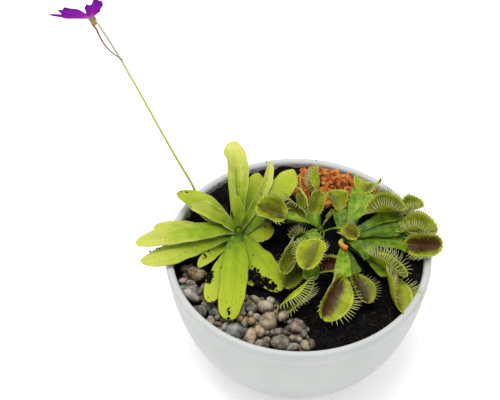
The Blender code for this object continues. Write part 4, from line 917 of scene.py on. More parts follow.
def smooth_line(points, steps):
    """A curve through the points, by Catmull-Rom pieces."""
    points = np.asarray(points, float)
    points = np.vstack([2 * points[0] - points[1], points, 2 * points[-1] - points[-2]])
    place = np.linspace(0, len(points) - 3 - 1e-9, steps + 1)
    i = place.astype(int)
    t = (place - i)[:, None]
    a, b, c, d = points[i], points[i + 1], points[i + 2], points[i + 3]
    return 0.5 * (2 * b + (c - a) * t + (2 * a - 5 * b + 4 * c - d) * t ** 2 + (3 * b - 3 * c + d - a) * t ** 3)


def tube_rings(line, radii, around):
    """Rings round a line, square to it."""
    along = unit(np.gradient(line, axis=0))
    first = unit(np.cross(along, (0.3, 0.9, 0.1)))
    second = np.cross(along, first)
    angle = np.arange(around) * 2 * np.pi / around
    ring = np.cos(angle)[:, None] * first[:, None] + np.sin(angle)[:, None] * second[:, None]
    return line[:, None] + ring * np.broadcast_to(radii, len(line))[:, None, None]


def along_values(rings):
    """The along value for every point of a tube's skin, from 0 at its first ring to 1 at its last."""
    return {"along": by_ring(np.linspace(0, 1, len(rings)), rings.shape[1])}


def make_stalk_skin():
    """A fresh stalk: yellow-green and faintly glossy, greyer towards the flower."""
    coat, tree, shader = new_coat("flower_stalk", Roughness=0.42, IOR=1.4, Subsurface_Weight=0.15,
                                  Subsurface_Scale=0.001)
    body = ramp_colours(tree, named_value(tree, "along"),
                        [(0.0, "#98A818"), (0.45, "#BAC238"), (0.78, "#C0C668"), (0.85, "#B4BA9C"), (1.0, "#B8BEA0")])
    body = mix_colours(tree, remap(tree, grain(tree, 3 * MM, 3), 0.4, 0.7, 0.0, 0.12), body, "#8C9A34")
    tree.links.new(body, shader.inputs["Base Color"])
    return coat


stalk_base = BUTTERWORT_PLACE + np.array((0, 0, CROWN_BASE))
stalk_line = smooth_line(stalk_base + np.array(STALK_POINTS) * MM, 20)
fine_stalk_line = smooth_line(stalk_base + np.array(STALK_POINTS) * MM, 160)
stalk_radii = np.linspace(STALK_ROOT_RADIUS, STALK_TIP_RADIUS, 161)
stalk_rings = tube_rings(fine_stalk_line, stalk_radii, 12)
stalk = add_mesh("stalk", *loft(stalk_rings), make_stalk_skin(), along_values(stalk_rings))
place_piece(stalk, "flower_stalk", "flower_stalk")

stalk_end = stalk_line[-1]
cup_foot = stalk_end + CUP_FOOT
flower_centre = cup_foot + FACE * (CALYX_LENGTH - 2 * GAP)
lip_way = unit(LIP - FACE * (LIP @ FACE))
side_way = np.cross(FACE, lip_way)


def calyx_rings():
    """The cup behind the petals, from its foot, with five short pointed sepals round its rim."""
    share = np.linspace(0, 1, 16)
    angle = np.arange(30) * 2 * np.pi / 30
    radius = CALYX_RADIUS * np.interp(share, (0, 0.15, 0.5, 0.8, 1), (0.35, 0.6, 0.95, 1.1, 1.25))
    sepal = np.abs(np.cos(2.5 * angle)) ** 0.7
    forward = CALYX_LENGTH * share[:, None] * (0.62 + 0.38 * sepal[None])
    circle = np.cos(angle)[:, None] * lip_way + np.sin(angle)[:, None] * side_way
    outer = cup_foot + circle[None] * radius[:, None, None] + FACE * forward[..., None]
    inner = (outer - circle[None] * 0.35 * MM)[::-1][:6]
    return np.concatenate([outer, inner])


def make_calyx_skin():
    """Olive-green calyx, browner in patches."""
    coat, tree, shader = new_coat("calyx", Roughness=0.5, IOR=1.4)
    body = ramp_colours(tree, grain(tree, 2.5 * MM, 3), [(0.3, "#6F7216"), (0.55, "#98932A"), (0.75, "#A88A30")])
    tree.links.new(body, shader.inputs["Base Color"])
    return coat


calyx = add_mesh("calyx", *loft(calyx_rings()), make_calyx_skin())
place_piece(calyx, "calyx", "flower_calyx")

# Each lobe: its turn from the lip's middle in degrees, its length in mm and how wide it is
LOBES = ((0, 23.5, 0.17), (41, 20, 0.92), (-41, 20.5, 0.92), (121, 15.6, 1.15), (-121, 16.6, 1.15))
THROAT_RADIUS = 1.9 * MM
PETAL_THICKNESS = 0.3 * MM
# The throat's outside from its end in the calyx, as shares of its radius and millimetres forward
THROAT_SHAPE = ((0.3, -4.0), (0.55, -3.4), (0.8, -2.4), (1.0, -1.2), (1.05, 0.2))


def lobe_reach(angle):
    """How far the petals reach at a turn about the flower's axis: five rounded lobes with waved edges."""
    reach = np.zeros_like(angle)
    for turn, length, width in LOBES:
        away = np.abs((angle - np.radians(turn) + np.pi) % (2 * np.pi) - np.pi)
        swell = np.cos(np.minimum(away / (0.62 * width), 1) * np.pi / 2) ** 0.6
        reach = np.maximum(reach, (8 + (length - 8) * swell) * MM)
    return reach * (1 + 0.045 * np.sin(13 * angle) + 0.028 * np.sin(31 * angle + 1))


def corolla_rings():
    """Petals as one closed skin: back of the throat, out under the lobes, round their edge and back over them."""
    around = 220
    angle = np.arange(around) * 2 * np.pi / around
    circle = np.cos(angle)[:, None] * lip_way + np.sin(angle)[:, None] * side_way
    reach = lobe_reach(angle)
    share = np.linspace(0.05, 1, 26)[:, None]
    out = THROAT_RADIUS + (reach - THROAT_RADIUS) * share
    wave = 0.9 * np.sin(9 * angle + 0.5) + 0.5 * np.sin(23 * angle) * share
    forward = 0.6 * MM + (0.54 + 0.13 * np.cos(angle)) * out + wave * share * MM
    edge = (1 - share ** 10) ** 0.5 * PETAL_THICKNESS
    back = flower_centre + circle * out[..., None] + FACE * (forward - edge)[..., None]
    front = (flower_centre + circle * out[..., None] + FACE * (forward + edge)[..., None])[::-1][1:]
    outside = [flower_centre + circle * THROAT_RADIUS * s + FACE * h * MM for s, h in THROAT_SHAPE]
    inside = [flower_centre + circle * THROAT_RADIUS * s + FACE * h * MM for s, h in ((0.8, 0.8), (0.5, -0.2))]
    along = np.concatenate([np.zeros(len(THROAT_SHAPE)), share.ravel(), share.ravel()[::-1][1:], [0, 0]])
    return np.concatenate([outside, back, front, inside]), along


def make_petal():
    """Petal: thin and velvety, clouded darker, with a pink throat and a dark edge."""
    coat, tree, shader = new_coat("petal", Roughness=0.7, IOR=1.35, Specular_IOR_Level=0.1)
    place = add_node(tree, "ShaderNodeTexCoord").outputs["Object"]
    reach = named_value(tree, "along")
    body = ramp_colours(tree, reach, [(0.0, "#C8A0B0"), (0.08, "#C25AA0"), (0.22, "#9E1CA0"), (0.55, "#8A16A4"),
                                      (0.93, "#7E10A6"), (0.97, "#2C0838")])
    cloud = remap(tree, grain(tree, 4 * MM, 3, place), 0.35, 0.7, 0.0, 0.5)
    body = mix_colours(tree, cloud, body, "#6A0C94")
    tree.links.new(body, shader.inputs["Base Color"])
    bump(tree, shader, grain(tree, 1.5 * MM, 3, place), 0.15 * MM)
    return coat


petal_coat = make_petal()
petal_rings, petal_along = corolla_rings()
petals = add_mesh("petals", *loft(petal_rings), petal_coat, {"along": by_ring(petal_along, petal_rings.shape[1])})
place_piece(petals, "petal", "flower_corolla")

SPUR_RUN = ((6, 3.0), (11, 4.0), (18, 4.8), (26, 4.2), (32, 2.4), (36, 0.8))
SPUR_RADIUS = 0.6 * MM


def make_spur_skin():
    """The spur: thin, reddish brown, pinker where it leaves the throat."""
    coat, tree, shader = new_coat("spur", Roughness=0.5, IOR=1.38, Subsurface_Weight=0.2, Subsurface_Scale=0.0008)
    body = ramp_colours(tree, named_value(tree, "along"), [(0.0, "#B46A9A"), (0.2, "#93606A"), (1.0, "#7A5448")])
    tree.links.new(body, shader.inputs["Base Color"])
    return coat


down_stalk = unit(stalk_line[-2] - stalk_line[-1])
spur_start = [flower_centre + FACE * 1.0 * MM, flower_centre + lip_way * 1.6 * MM - FACE * 2.5 * MM]
spur_points = spur_start + [stalk_end + down_stalk * a * MM + lip_way * b * MM for a, b in SPUR_RUN]
spur_line = smooth_line(spur_points, 60)
spur_rings = tube_rings(spur_line, np.linspace(SPUR_RADIUS * 1.6, SPUR_RADIUS * 0.6, 61), 10)
spur = add_mesh("spur", *loft(spur_rings), make_spur_skin(), along_values(spur_rings))
place_piece(spur, "petal")

# Flytrap
# Two crowns of low leaves. Each leaf is a flat, winged green stalk that narrows to a neck and carries a trap: two
# thick lobes joined at the midrib, with a row of stiff pale teeth on each margin and a red flush inside some.
NECK = 3.2 * MM
SHOULDER = 0.07
NECK_HALF_WIDTH = 0.8 * MM
PETIOLE_FOLD = 12
TRAP_THICKNESS = 0.7 * MM
# How far a lobe curls, in degrees, when its trap is nearly shut and when it is wide open, and those openings
LOBE_CURLS = (60, 38)
OPENINGS = (50, 100)
MIDRIB_BOW = 0.10
TOOTH_FAN = 0.8
TOOTH_LEANS = (0.22, -0.22)
TOOTH_HOOKS = (0.28, 0.05)
# teeth is the number on a margin, flush how red the trap is inside, patch how far out the red reaches; the next
# value says how dark the whole leaf is painted, as painted shade on leaves that lie low and as the blackening of
# old traps, and wing how dark its winged stalk is painted, as painted shade
FlytrapLeaf = namedtuple(
    "FlytrapLeaf",
    "name crown tier azimuth reach height width bow sway trap_azimuth pitch length lobe roll opening tooth"
    " teeth flush patch shade wing")
FLYTRAP_LEAVES = (
    FlytrapLeaf("01", 0, 5, 43, 26, 17, 9, 3, 3, -1, 7, 26, 16, -4, 60, 9, 17, 0.35, 0.6, 0.0, 0.15),
    FlytrapLeaf("02", 0, 4, 22, 48, 15, 16, 3, 0, 7, 21, 17, 12, -4, 70, 8, 13, 0.1, 0.8, 0.05, 0.3),
    FlytrapLeaf("03", 0, 3, 4, 42, 12, 19, 3, 0, -12, 8, 27, 17, -5, 66, 9, 17, 0.1, 0.5, 0.05, 0.5),
    FlytrapLeaf("04", 0, 1, -12, 48, 9, 21, 4, 0, -7, 8, 25, 14, 46, 74, 8, 17, 0.9, 0.65, 0.0, 0.35),
    FlytrapLeaf("05", 0, 4, -48, 30, 10, 17, 3, 0, -44, 2, 30, 11, -22, 53, 10, 18, 0.1, 0.8, 0.1, 0.3),
    FlytrapLeaf("06", 0, 0, -49, 50, 5, 15, 1, 2, -82, 2, 34, 16, -43, 82, 9, 18, 0.25, 0.5, 0.0, 0.3),
    FlytrapLeaf("07", 0, 3, -94, 46, 12, 14, 4, 0, -117, -12, 34, 18, -48, 84, 8, 17, 0.9, 0.42, 0.0, 0.0),
    FlytrapLeaf("08", 0, 1, -78, 36, 3, 11, 1, 0, -75, -3, 25, 13, -27, 108, 5, 14, 0.8, 0.6, 0.4, 0.1),
    FlytrapLeaf("09", 0, 1, 66, 43, 14, 20, 3, 0, 62, -12, 15, 17, -12, 78, 3, 9, 0.1, 0.3, 0.0, 0.0),
    FlytrapLeaf("10", 0, 3, 94, 25, 11, 13, 2, 1, 125, 25, 15, 14, 10, 70, 3, 10, 0.0, 0.8, 0.0, 0.5),
    FlytrapLeaf("11", 1, 1, -16, 18, 9, 3, 2, 0, -46, 4, 14, 9, 24, 75, 6, 12, 0.5, 0.5, 0.05, 0.0),
    FlytrapLeaf("12", 1, 2, -100, 56, 6, 13, 5, 0, -134, -6, 34, 11, -68, 38, 9, 19, 0.1, 0.8, 0.0, 0.2),
    FlytrapLeaf("13", 1, 4, -98, 29, 20, 10, 4, -4, -110, -6, 25, 14, 8, 98, 5, 14, 0.25, 0.4, 0.0, 0.1),
    FlytrapLeaf("14", 1, 3, -125, 28, 10, 9, 3, 0, -118, -4, 28, 11, -6, 58, 8, 17, 0.05, 0.6, 0.05, 0.2),
    FlytrapLeaf("15", 1, 0, -111, 43, 4, 10, 3, 0, -126, -4, 21, 9, -20, 80, 6, 14, 0.3, 0.6, 0.6, 0.5),
    FlytrapLeaf("16", 1, 5, -172, 28, 22, 9, 4, 2, 160, 10, 21, 15, -26, 72, 8, 15, 0.45, 0.4, 0.0, 0.1),
    FlytrapLeaf("17", 1, 3, 160, 14, 12, 7, 2, 1, 136, 14, 26, 10, -50, 56, 7, 15, 0.1, 0.6, 0.0, 0.1),
    FlytrapLeaf("18", 1, 3, 116, 12, 8, 12, 2, 1, 72, 28, 18, 10, 15, 68, 4, 11, 0.1, 0.8, 0.0, 0.0),
    FlytrapLeaf("19", 1, 0, 128, 22, 7, 6, 2, 0, 97, 17, 13, 6, -8, 66, 2, 8, 0.1, 0.8, 0.1, 0.2),
    FlytrapLeaf("20", 1, 0, 93, 33, 10, 7, 3, 0, 92, 38, 20, 9, -78, 34, 5, 14, 0.0, 0.8, 0.0, 0.2),
    FlytrapLeaf("21", 1, 5, 30, 6, 11, 2, 1, 0, 20, 60, 9, 3, 0, 25, 2, 7, 0.0, 0.8, 0.0, 0.0),
    FlytrapLeaf("22", 1, 1, -158, 13, 4, 3, 1, 0, -150, 8, 13, 7, 10, 50, 6, 11, 0.1, 0.8, 0.1, 0.1),
    FlytrapLeaf("23", 1, 2, -101, 43, 9, 8, 3, 0, 5, 2, 20, 10, 38, 73, 4, 12, 1.0, 0.8, 0.0, 0.3),
    FlytrapLeaf("24", 1, 1, -176, 21, 13, 6, 2, 0, 178, 0, 20, 13, 10, 60, 4, 15, 0.0, 0.8, 0.85, 0.6),
    FlytrapLeaf("25", 1, 0, -88, 17, 5, 3, 2, 0, 90, 54, 9, 4, 0, 18, 1, 7, 0.5, 0.4, 0.0, 0.0),
)
LAST_LEAF_NODE = "22"


def petiole_skin(leaf, line, marks, shoulder):
    """The winged stalk: it widens to two round shoulders, which reach on past the neck, with nicked edges."""
    rows, steps = len(line), 10
    number = int(leaf.name)
    wing = (0.14 + 0.86 * np.minimum(marks / shoulder, 1) ** 1.15) * leaf.width / 2 * MM
    past = np.clip((marks - shoulder + 0.03) / (SHOULDER + 0.03), 0, 1)
    wing = NECK_HALF_WIDTH + np.maximum(wing - NECK_HALF_WIDTH, 0) * np.sqrt(1 - past ** 2)
    step = (np.arange(steps) + 0.5) / steps
    widths, bends = np.zeros((2, rows)), np.zeros((2, rows, steps))
    for half in (0, 1):
        nick = 0.05 * np.abs(np.sin(marks * 29 + number + half * 1.3)) + 0.03 * np.sin(marks * 71 + number * 2 + half)
        widths[half] = wing * (1 + nick * np.minimum(marks / 0.4, 1))
        ripple = np.radians(22) * np.sin(marks * 15 + number * 1.7 + half * 2) * np.minimum(marks / 0.4, 1)
        bends[half] = np.radians(PETIOLE_FOLD) + ripple[:, None] * step ** 2
    column = np.abs(np.linspace(-1, 1, 2 * steps + 1))
    rib = np.exp(-(column / 0.12) ** 2) * np.interp(marks, (0, 0.7, 1), (0.9, 0.5, 0.9))[:, None]
    thick = (0.6 + rib) * MM * (1 - column ** 8) ** 0.5
    reach_on = np.exp(-((marks - shoulder) / 0.16) ** 2)[:, None] * column ** 1.6 * leaf.width * 0.26 * MM
    return blade_skin(line, rolled_ups(line, 0), widths, bends, thick, reach_on)


def trap_skin(leaf, hinge):
    """The two lobes: they bend evenly from the midrib to a margin that turns a little out under the teeth."""
    rows, steps = 60, 12
    azimuth, pitch = np.radians((leaf.trap_azimuth, leaf.pitch))
    run = np.array((np.cos(azimuth) * np.cos(pitch), np.sin(azimuth) * np.cos(pitch), np.sin(pitch)))
    mouth = rolled_ups(np.array([np.zeros(3), run, 2 * run]), leaf.roll)[0]
    v = (1 - np.cos(np.pi * np.linspace(0, 1, rows))) / 2
    back = MIDRIB_BOW * leaf.length * MM * 4 * v * (1 - v)
    midrib = hinge + run * (v[:, None] * leaf.length * MM) - mouth * back[:, None]
    full = (1 - np.abs(2 * v - 1) ** 2.1) ** 0.58
    widths = np.maximum(full * leaf.lobe * MM, 0.7 * MM)
    curl = np.radians(np.interp(leaf.opening, OPENINGS, LOBE_CURLS)) * full
    fold = np.radians(90 - leaf.opening / 2) * full - curl / 2
    step = (np.arange(steps) + 0.5) / steps
    lip = -np.radians(20) * np.clip((step - 0.86) / 0.14, 0, 1)
    bends = np.zeros((2, rows, steps))
    for half in (0, 1):
        ripple = np.radians(3) * np.sin(v * 14 + int(leaf.name) + half * 2)
        bends[half] = fold[:, None] + curl[:, None] * step + (lip + ripple[:, None] * step ** 2) * full[:, None]
    column = np.abs(np.linspace(-1, 1, 2 * steps + 1))
    body = 0.75 + 0.5 * np.exp(-(column / 0.10) ** 2)
    rib = 0.10 * np.cos(2 * np.pi * leaf.teeth * v)[:, None] * np.clip((column - 0.3) / 0.4, 0, 1)
    thick = TRAP_THICKNESS * (body + rib) * (1 - column ** 10) ** 0.5
    reach_on = 0.10 * leaf.length * MM * (2 * v - 1)[:, None] * column ** 2
    skin = blade_skin(midrib, np.tile(mouth, (rows, 1)), widths, bends, thick, reach_on)
    return skin, v, run, mouth, midrib


def along_margin(v, marks, sheet):
    """Points of a margin's sheet read at marks along the trap."""
    return np.stack([np.interp(marks, v, sheet[:, k]) for k in range(3)], axis=-1)


def spikes(feet, leans, reaches, hooks, roots, sides):
    """Slim cones that bend as they rise: their feet, ways, lengths, end bends and root radii."""
    stations = np.linspace(0, 1, 7)
    rise = leans[:, None] * stations[None, :, None] + hooks[:, None] * stations[None, :, None] ** 2
    line = feet[:, None] + rise * reaches[:, None, None]
    first = unit(np.cross(leans, sides))
    second = np.cross(leans, first)
    angle = np.arange(6) * 2 * np.pi / 6
    circle = np.cos(angle)[:, None] * first[:, None] * 0.85 + np.sin(angle)[:, None] * second[:, None]
    radius = roots[:, None] * (1 - 0.8 * stations ** 1.3)[None]
    return line[:, :, None] + circle[:, None] * radius[:, :, None, None]


def tooth_rings(leaf, grid, v, run, mouth, draw):
    """A row of teeth on each margin: they stand on the lobe's edge, fan out and hook in at the tip."""
    marks = np.linspace(0.05, 0.95, leaf.teeth) + draw.uniform(-0.007, 0.007, leaf.teeth)
    rings = []
    for column, inward in ((0, 1), (-1, -1)):
        edge = along_margin(v, marks, grid[:, column])
        inner = along_margin(v, marks, grid[:, column + 2 * inward])
        toward = unit(np.cross(run, mouth)) * inward
        fan = run * (2 * marks - 1)[:, None] * TOOTH_FAN
        lean_in = np.interp(leaf.opening, OPENINGS, TOOTH_LEANS) + draw.uniform(-0.05, 0.08, (leaf.teeth, 1))
        lean = unit(unit(edge - inner) + fan + toward * lean_in + draw.normal(0, 0.025, (leaf.teeth, 3)))
        reach = leaf.tooth * MM * np.sin(np.pi * marks) ** 0.4 * draw.uniform(0.88, 1.06, leaf.teeth)
        root = np.full(leaf.teeth, np.interp(leaf.tooth, (2, 8), (0.26, 0.44)) * MM)
        hook = toward * np.interp(leaf.opening, OPENINGS, TOOTH_HOOKS) + draw.normal(0, 0.02, (leaf.teeth, 3))
        rings.append(spikes(edge - lean * 0.5 * MM, lean, reach, hook, root, run[None]))
    return np.concatenate(rings)


def trigger_rings(grid, normal, run):
    """The trigger hairs: three on the inside of each lobe, in a triangle."""
    rows, steps = grid.shape[0], grid.shape[1] // 2
    feet, leans = [], []
    for side in (-1, 1):
        for place, out in ((0.40, 0.50), (0.60, 0.50), (0.50, 0.68)):
            spot = (round(place * (rows - 1)), steps + side * round(out * steps))
            feet.append(grid[spot] + normal[spot] * 0.2 * MM)
            leans.append(normal[spot])
    count = len(feet)
    return spikes(np.array(feet), np.array(leans), np.full(count, 1.8 * MM), np.zeros((count, 3)),
                  np.full(count, 0.14 * MM), run[None])


def join_parts(parts):
    """Skins in one mesh: each part is its points, faces and values, and every face points out of its own skin."""
    points, faces, values = [], [], {}
    start = 0
    for part_points, part_faces, part_values in parts:
        if volume(part_points, part_faces) < 0:
            part_faces = [part[:, ::-1] for part in part_faces]
        points.append(part_points)
        faces += [part + start for part in part_faces]
        start += len(part_points)
        for key, value in part_values.items():
            values.setdefault(key, []).append(np.broadcast_to(value, len(part_points)))
    return np.vstack(points), faces, {key: np.concatenate(value) for key, value in values.items()}


def flytrap_leaf(leaf, draw):
    """One whole leaf: winged stalk, neck and midrib cord, trap, teeth and trigger hairs."""
    place = FLYTRAP_PLACES[leaf.crown]
    root = polar_point(place, leaf.azimuth, 2.2 * MM, CROWN_BASE + (leaf.tier + 0.5) * TIER)
    hinge = polar_point(place, leaf.azimuth, leaf.reach * MM, CROWN_BASE + (leaf.height + 1.5) * MM)
    neck = NECK / np.linalg.norm(hinge - root)
    shoulder = 1 - neck - SHOULDER
    marks = np.concatenate([np.linspace(0, shoulder, 34), np.linspace(shoulder + 0.006, 1 - neck, 14)])
    line = bowed_line(root, hinge, leaf.bow * MM, leaf.sway * MM, marks)
    skin = petiole_skin(leaf, line, marks, shoulder)
    stalk_part = (*loft(skin[0]), {**spread_values(*skin[:3], marks), "part": 0.0})
    trap, v, run, mouth, midrib = trap_skin(leaf, hinge)
    trap_part = (*loft(trap[0]), {**spread_values(*trap[:3], v), "part": 1.0})
    cord_points = np.vstack([line[-4], line[-1], hinge, midrib[10::10]])
    cord_line = smooth_line(cord_points - mouth * 0.15 * MM, 28)
    cord_radii = np.interp(np.linspace(0, 1, 29), (0, 0.15, 0.4, 1), (0.5, 0.75, 0.7, 0.35)) * MM
    cord = tube_rings(cord_line, cord_radii, 10)
    cord_part = (*loft(cord), {"across": 0.0, "below": 1.0, "along": 0.3, "part": 1.0})
    spike_along = by_ring(np.linspace(0, 1, 7), 6)
    teeth = tooth_rings(leaf, trap[3], v, run, mouth, draw)
    tooth_part = (*loft(teeth), {"across": 1.0, "below": 0.0, "along": np.tile(spike_along, len(teeth)), "part": 2.0})
    triggers = trigger_rings(trap[3], trap[4], run)
    trigger_part = (*loft(triggers), {"across": 1.0, "below": 0.0, "along": 0.2, "part": 2.0})
    return join_parts([stalk_part, trap_part, cord_part, tooth_part, trigger_part])


def make_flytrap_skin():
    """Flytrap leaf: firm green wings, yellow-green traps with fine ribs, a red gland field inside, pale teeth."""
    coat, tree, shader = new_coat("flytrap_leaf", Roughness=0.45, IOR=1.4, Specular_IOR_Level=0.3,
                                  Subsurface_Weight=0.12, Subsurface_Scale=0.0012, Subsurface_Radius=(0.7, 1.0, 0.2))
    place = add_node(tree, "ShaderNodeTexCoord").outputs["Object"]
    along, across = named_value(tree, "along"), named_value(tree, "across")
    out = calculate(tree, "ABSOLUTE", across)
    mottle = grain(tree, 6 * MM, 4, place)
    wing = ramp_colours(tree, calculate(tree, "ADD", mottle, calculate(tree, "MULTIPLY", along, 0.12)),
                        [(0.38, "#3A5E0A"), (0.56, "#62840F"), (0.76, "#8CA31A")])
    wing = mix_colours(tree, remap(tree, out, 0.16, 0.04, 0.0, 0.35), wing, "#90A430")
    wing = mix_colours(tree, remap(tree, out, 0.90, 0.99, 0.0, 0.4), wing, "#9CAA38")
    # Painted shade: the winged stalks of leaves that lie low under others are painted dark green, by each leaf's wing
    # value
    wing = mix_colours(tree, named_value(tree, "wing"), wing, "#1C3A0C")
    turns = calculate(tree, "MULTIPLY", calculate(tree, "MULTIPLY", along, named_value(tree, "teeth")), 2 * math.pi)
    rib = remap(tree, calculate(tree, "SINE", turns), -1.0, 1.0)
    rib = calculate(tree, "MULTIPLY", rib, remap(tree, out, 0.25, 0.75))
    shell = ramp_colours(tree, mottle, [(0.3, "#7E8E12"), (0.52, "#A0AA1C"), (0.74, "#BABD2E")])
    shell = mix_colours(tree, calculate(tree, "MULTIPLY", rib, 0.4), shell, "#596A0C")
    shell = mix_colours(tree, remap(tree, out, 0.84, 0.98, 0.0, 0.6), shell, "#C4C854")
    inside = calculate(tree, "SUBTRACT", 1.0, named_value(tree, "below"))
    reach = calculate(tree, "SUBTRACT", named_value(tree, "patch"), calculate(
        tree, "ADD", out, calculate(tree, "MULTIPLY", calculate(tree, "SUBTRACT", mottle, 0.5), 0.5)))
    field = remap(tree, reach, -0.12, 0.16)
    red = calculate(tree, "MULTIPLY", calculate(tree, "MULTIPLY", field, inside), named_value(tree, "flush"))
    inner = mix_colours(tree, remap(tree, mottle, 0.35, 0.7), "#34160C", "#5A2A16")
    # Painted shade: the inside of a trap is painted dark near the midrib, and nearly all over when the trap is nearly
    # shut
    painted_hollow_shade = calculate(tree, "MAXIMUM", remap(tree, out, 0.7, 0.05, 0.0, 0.7), calculate(
        tree, "MULTIPLY", named_value(tree, "shut"), remap(tree, out, 0.98, 0.7, 0.0, 0.85)))
    shell = mix_colours(tree, calculate(tree, "MULTIPLY", painted_hollow_shade, inside), shell, "#1E240A")
    # Painted shade: the outer face of each lobe is painted darker towards the midrib
    outer = calculate(tree, "MULTIPLY", named_value(tree, "below"), remap(tree, out, 0.8, 0.1, 0.0, 0.42))
    shell = mix_colours(tree, outer, shell, "#4C5A0E")
    shell = mix_colours(tree, red, shell, inner)
    tooth = ramp_colours(tree, along, [(0.0, "#B2C044"), (0.35, "#D6DC88"), (1.0, "#E2E4AA")])
    part = named_value(tree, "part")
    body = mix_colours(tree, remap(tree, part, 0.4, 0.6), wing, shell)
    body = mix_colours(tree, remap(tree, part, 1.4, 1.6), body, tooth)
    # The whole leaf is painted darker green by its own value: painted shade on leaves that lie low under others, and
    # the blackening of old traps
    body = mix_colours(tree, named_value(tree, "shade"), body, "#16280C")
    fleck = remap(tree, grain(tree, 1.4 * MM, 2, place), 0.72, 0.77, 0.0, 0.6)
    body = mix_colours(tree, fleck, body, "#3A3A10")
    tree.links.new(body, shader.inputs["Base Color"])
    bump(tree, shader, calculate(tree, "ADD", rib, grain(tree, 1.5 * MM, 3, place)), 0.3 * MM)
    return coat


flytrap_draw = np.random.default_rng(17)
flytrap_skin = make_flytrap_skin()
for leaf in FLYTRAP_LEAVES:
    points, faces, values = flytrap_leaf(leaf, flytrap_draw)
    piece = add_mesh("flytrap_" + leaf.name, points, faces, flytrap_skin,
                     {**values, "flush": leaf.flush, "patch": leaf.patch, "shade": leaf.shade, "teeth": leaf.teeth,
                      "wing": leaf.wing, "shut": np.interp(leaf.opening, (45, 85), (1, 0))})
    nodes = ["flytrap_leaf_" + leaf.name] if leaf.name <= LAST_LEAF_NODE else []
    place_piece(piece, "flytrap_leaf", *nodes)

for name, place in zip(("main", "side"), FLYTRAP_PLACES):
    node = "flytrap_crown_" + name
    # Each heart has the stalks' green, painted darker as painted shade where the leaves meet
    crown = add_mesh("flytrap_heart_" + name, *loft(crown_rings(place, 3.4 * MM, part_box(node)[1].z)), flytrap_skin,
                     {"across": 0.5, "below": 0.0, "along": 0.0, "part": 0.0, "flush": 0.0, "patch": 0.0,
                      "shade": 0.2, "teeth": 0.0, "wing": 0.3, "shut": 0.0})
    place_piece(crown, "flytrap_leaf", node)

# Dry leaves and stub
# Two dried, straw-coloured strips of earlier leaves stand behind the plant, and one flower stalk has been cut off
# short, green at its side with an orange, corky end.
Strip = namedtuple("Strip", "name crown azimuth root reach height width bow")
DRY_STRIPS = (
    Strip("dry_strip_left", 1, 137, 34, 52, 14, 2.2, 3),
    Strip("dry_strip_right", 1, 108, 28, 47, 17, 2.4, 2),
)
STRIP_SEAT = 0.9 * MM


def make_straw():
    """Dried leaf: dull straw and green, in patches."""
    coat, tree, shader = new_coat("dried_leaf", Roughness=0.8)
    body = ramp_colours(tree, grain(tree, 4 * MM, 4), [(0.3, "#7C7A2A"), (0.5, "#A09A48"), (0.72, "#C2B27C")])
    tree.links.new(body, shader.inputs["Base Color"])
    return coat


straw = make_straw()
for strip in DRY_STRIPS:
    strip_place = FLYTRAP_PLACES[strip.crown]
    strip_root = polar_point(strip_place, strip.azimuth, strip.root * MM, 0)
    strip_root[2] = SOIL_LEVEL + soil_rise(strip_root[0], strip_root[1]) + STRIP_SEAT
    strip_tip = polar_point(strip_place, strip.azimuth, strip.reach * MM, CROWN_BASE + strip.height * MM)
    strip_share = np.linspace(0, 1, 24)
    strip_line = bowed_line(strip_root, strip_tip, strip.bow * MM, 2 * MM, strip_share)
    strip_widths = np.interp(strip_share, (0, 0.2, 0.6, 0.9, 1), (0.7, 1, 0.95, 0.6, 0.2)) * strip.width / 2 * MM
    strip_bends = np.full((2, 24, 4), 0.5) + 0.3 * np.sin(strip_share * 8)[None, :, None]
    strip_edge = (1 - np.abs(np.linspace(-1, 1, 9)) ** 6) ** 0.5
    strip_thick = np.tile(0.4 * MM * strip_edge, (24, 1))
    strip_skin = blade_skin(strip_line, rolled_ups(strip_line, 0), strip_widths, strip_bends, strip_thick)
    piece = add_mesh(strip.name.replace("strip", "leaf"), *loft(strip_skin[0]), straw)
    place_piece(piece, "dry_leaf", strip.name)


# The bare midrib of a leaf whose trap has gone, curled back towards the butterwort: its places in millimetres
TENDRIL_RUN = ((14, 36, 96), (9, 43, 101), (7, 51, 104), (3, 57, 106), (-4, 62, 107), (-6, 70, 106), (-7, 74, 104))
tendril_line = smooth_line(np.array(TENDRIL_RUN) * MM, 60)
tendril_rings = tube_rings(tendril_line, np.interp(np.linspace(0, 1, 61), (0, 0.5, 1), (0.7, 0.9, 0.3)) * MM, 10)
tendril = add_mesh("bare_tendril", *loft(tendril_rings), make_stalk_skin(), along_values(tendril_rings))
place_piece(tendril, "flytrap_leaf")


def make_stub_skin():
    """A cut stalk: green below, dried orange at its cut end."""
    coat, tree, shader = new_coat("cut_stub", Roughness=0.6, Subsurface_Weight=0.15, Subsurface_Scale=0.001)
    body = ramp_colours(tree, named_value(tree, "along"), [(0.5, "#A2AA3C"), (0.68, "#C7822E"), (0.95, "#C4622A")])
    body = mix_colours(tree, remap(tree, grain(tree, 1.2 * MM, 3), 0.5, 0.7, 0.0, 0.5), body, "#8A4A22")
    tree.links.new(body, shader.inputs["Base Color"])
    return coat


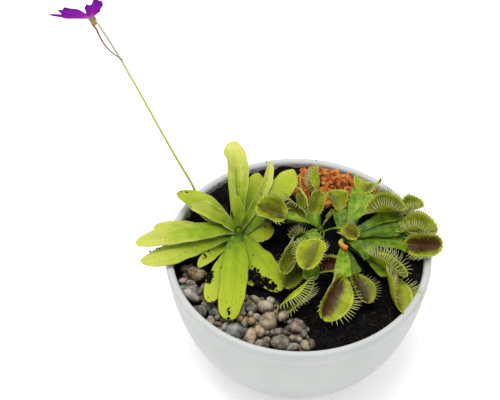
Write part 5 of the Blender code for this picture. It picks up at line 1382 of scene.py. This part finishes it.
stub_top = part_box("flytrap_crown_main")[1].z
stub_bends = ((0.0, -0.5, -4.0), (-1.5, -5.0, 1.5), (-3.0, -10.5, 5.0), (-0.5, -15.5, 6.0), (2.0, -16.5, 6.0))
stub_points = FLYTRAP_PLACES[0] + np.array((0, 0, stub_top)) + np.array(stub_bends) * MM
stub_line = smooth_line(stub_points, 18)
stub_radii = np.interp(np.linspace(0, 1, 19), (0, 0.5, 0.9, 1), (1.3, 1.7, 2.3, 2.0)) * MM
stub_rings = tube_rings(stub_line, stub_radii, 16)
stub = add_mesh("stub", *loft(stub_rings), make_stub_skin(), along_values(stub_rings))
place_piece(stub, "cut_stub", "cut_stub")

# Studio
# A plain pale floor, one large soft light from the upper left and an even pale sky, and the camera of the
# photograph: about 0.9 m away, looking down at 46 degrees, with the bowl a little right of the middle.
CAMERA_PLACE = Vector((-0.0362, -0.6678, 0.8453))
CAMERA_ELEVATION = 46
CAMERA_LENS = 95.98

floor_mesh = bpy.data.meshes.new("floor")
floor_mesh.from_pydata([(-3, -3, 0), (3, -3, 0), (3, 3, 0), (-3, 3, 0)], [], [(0, 1, 2, 3)])
floor = bpy.data.objects.new("floor", floor_mesh)
bpy.context.scene.collection.objects.link(floor)
floor_coat, _, floor_shader = new_coat("white_paper", Roughness=0.9)
floor_shader.inputs["Base Color"].default_value = linear("#FCFCFC")
floor_shader.inputs["Emission Color"].default_value = linear("#FFFFFF")
floor_shader.inputs["Emission Strength"].default_value = 0.22
floor_mesh.materials.append(floor_coat)

world = bpy.data.worlds.new("pale_sky")
bpy.context.scene.world = world
world.use_nodes = True
world.node_tree.nodes["Background"].inputs["Color"].default_value = linear("#FFFFFF")
world.node_tree.nodes["Background"].inputs["Strength"].default_value = 0.77


def add_softbox(name, place, aim, size, power):
    """A square soft light that faces a point."""
    light = bpy.data.lights.new(name, "AREA")
    light.shape = "SQUARE"
    light.size = size
    light.energy = power
    box = bpy.data.objects.new(name, light)
    bpy.context.scene.collection.objects.link(box)
    box.location = place
    box.rotation_euler = (Vector(aim) - Vector(place)).to_track_quat("-Z", "Y").to_euler()


add_softbox("key_light", (-0.14, 0.1, 1.4), (0, 0, 0.1), 0.9, 15)

camera_data = bpy.data.cameras.new("camera")
camera_data.sensor_width = 36
camera_data.lens = CAMERA_LENS
camera_data.clip_start = 0.01
camera = bpy.data.objects.new("camera", camera_data)
bpy.context.scene.collection.objects.link(camera)
camera.matrix_world = (Matrix.Translation(CAMERA_PLACE)
                       @ Matrix.Rotation(math.radians(90 - CAMERA_ELEVATION), 4, "X"))
bpy.context.scene.camera = camera
bpy.context.scene.view_settings.view_transform = "Standard"
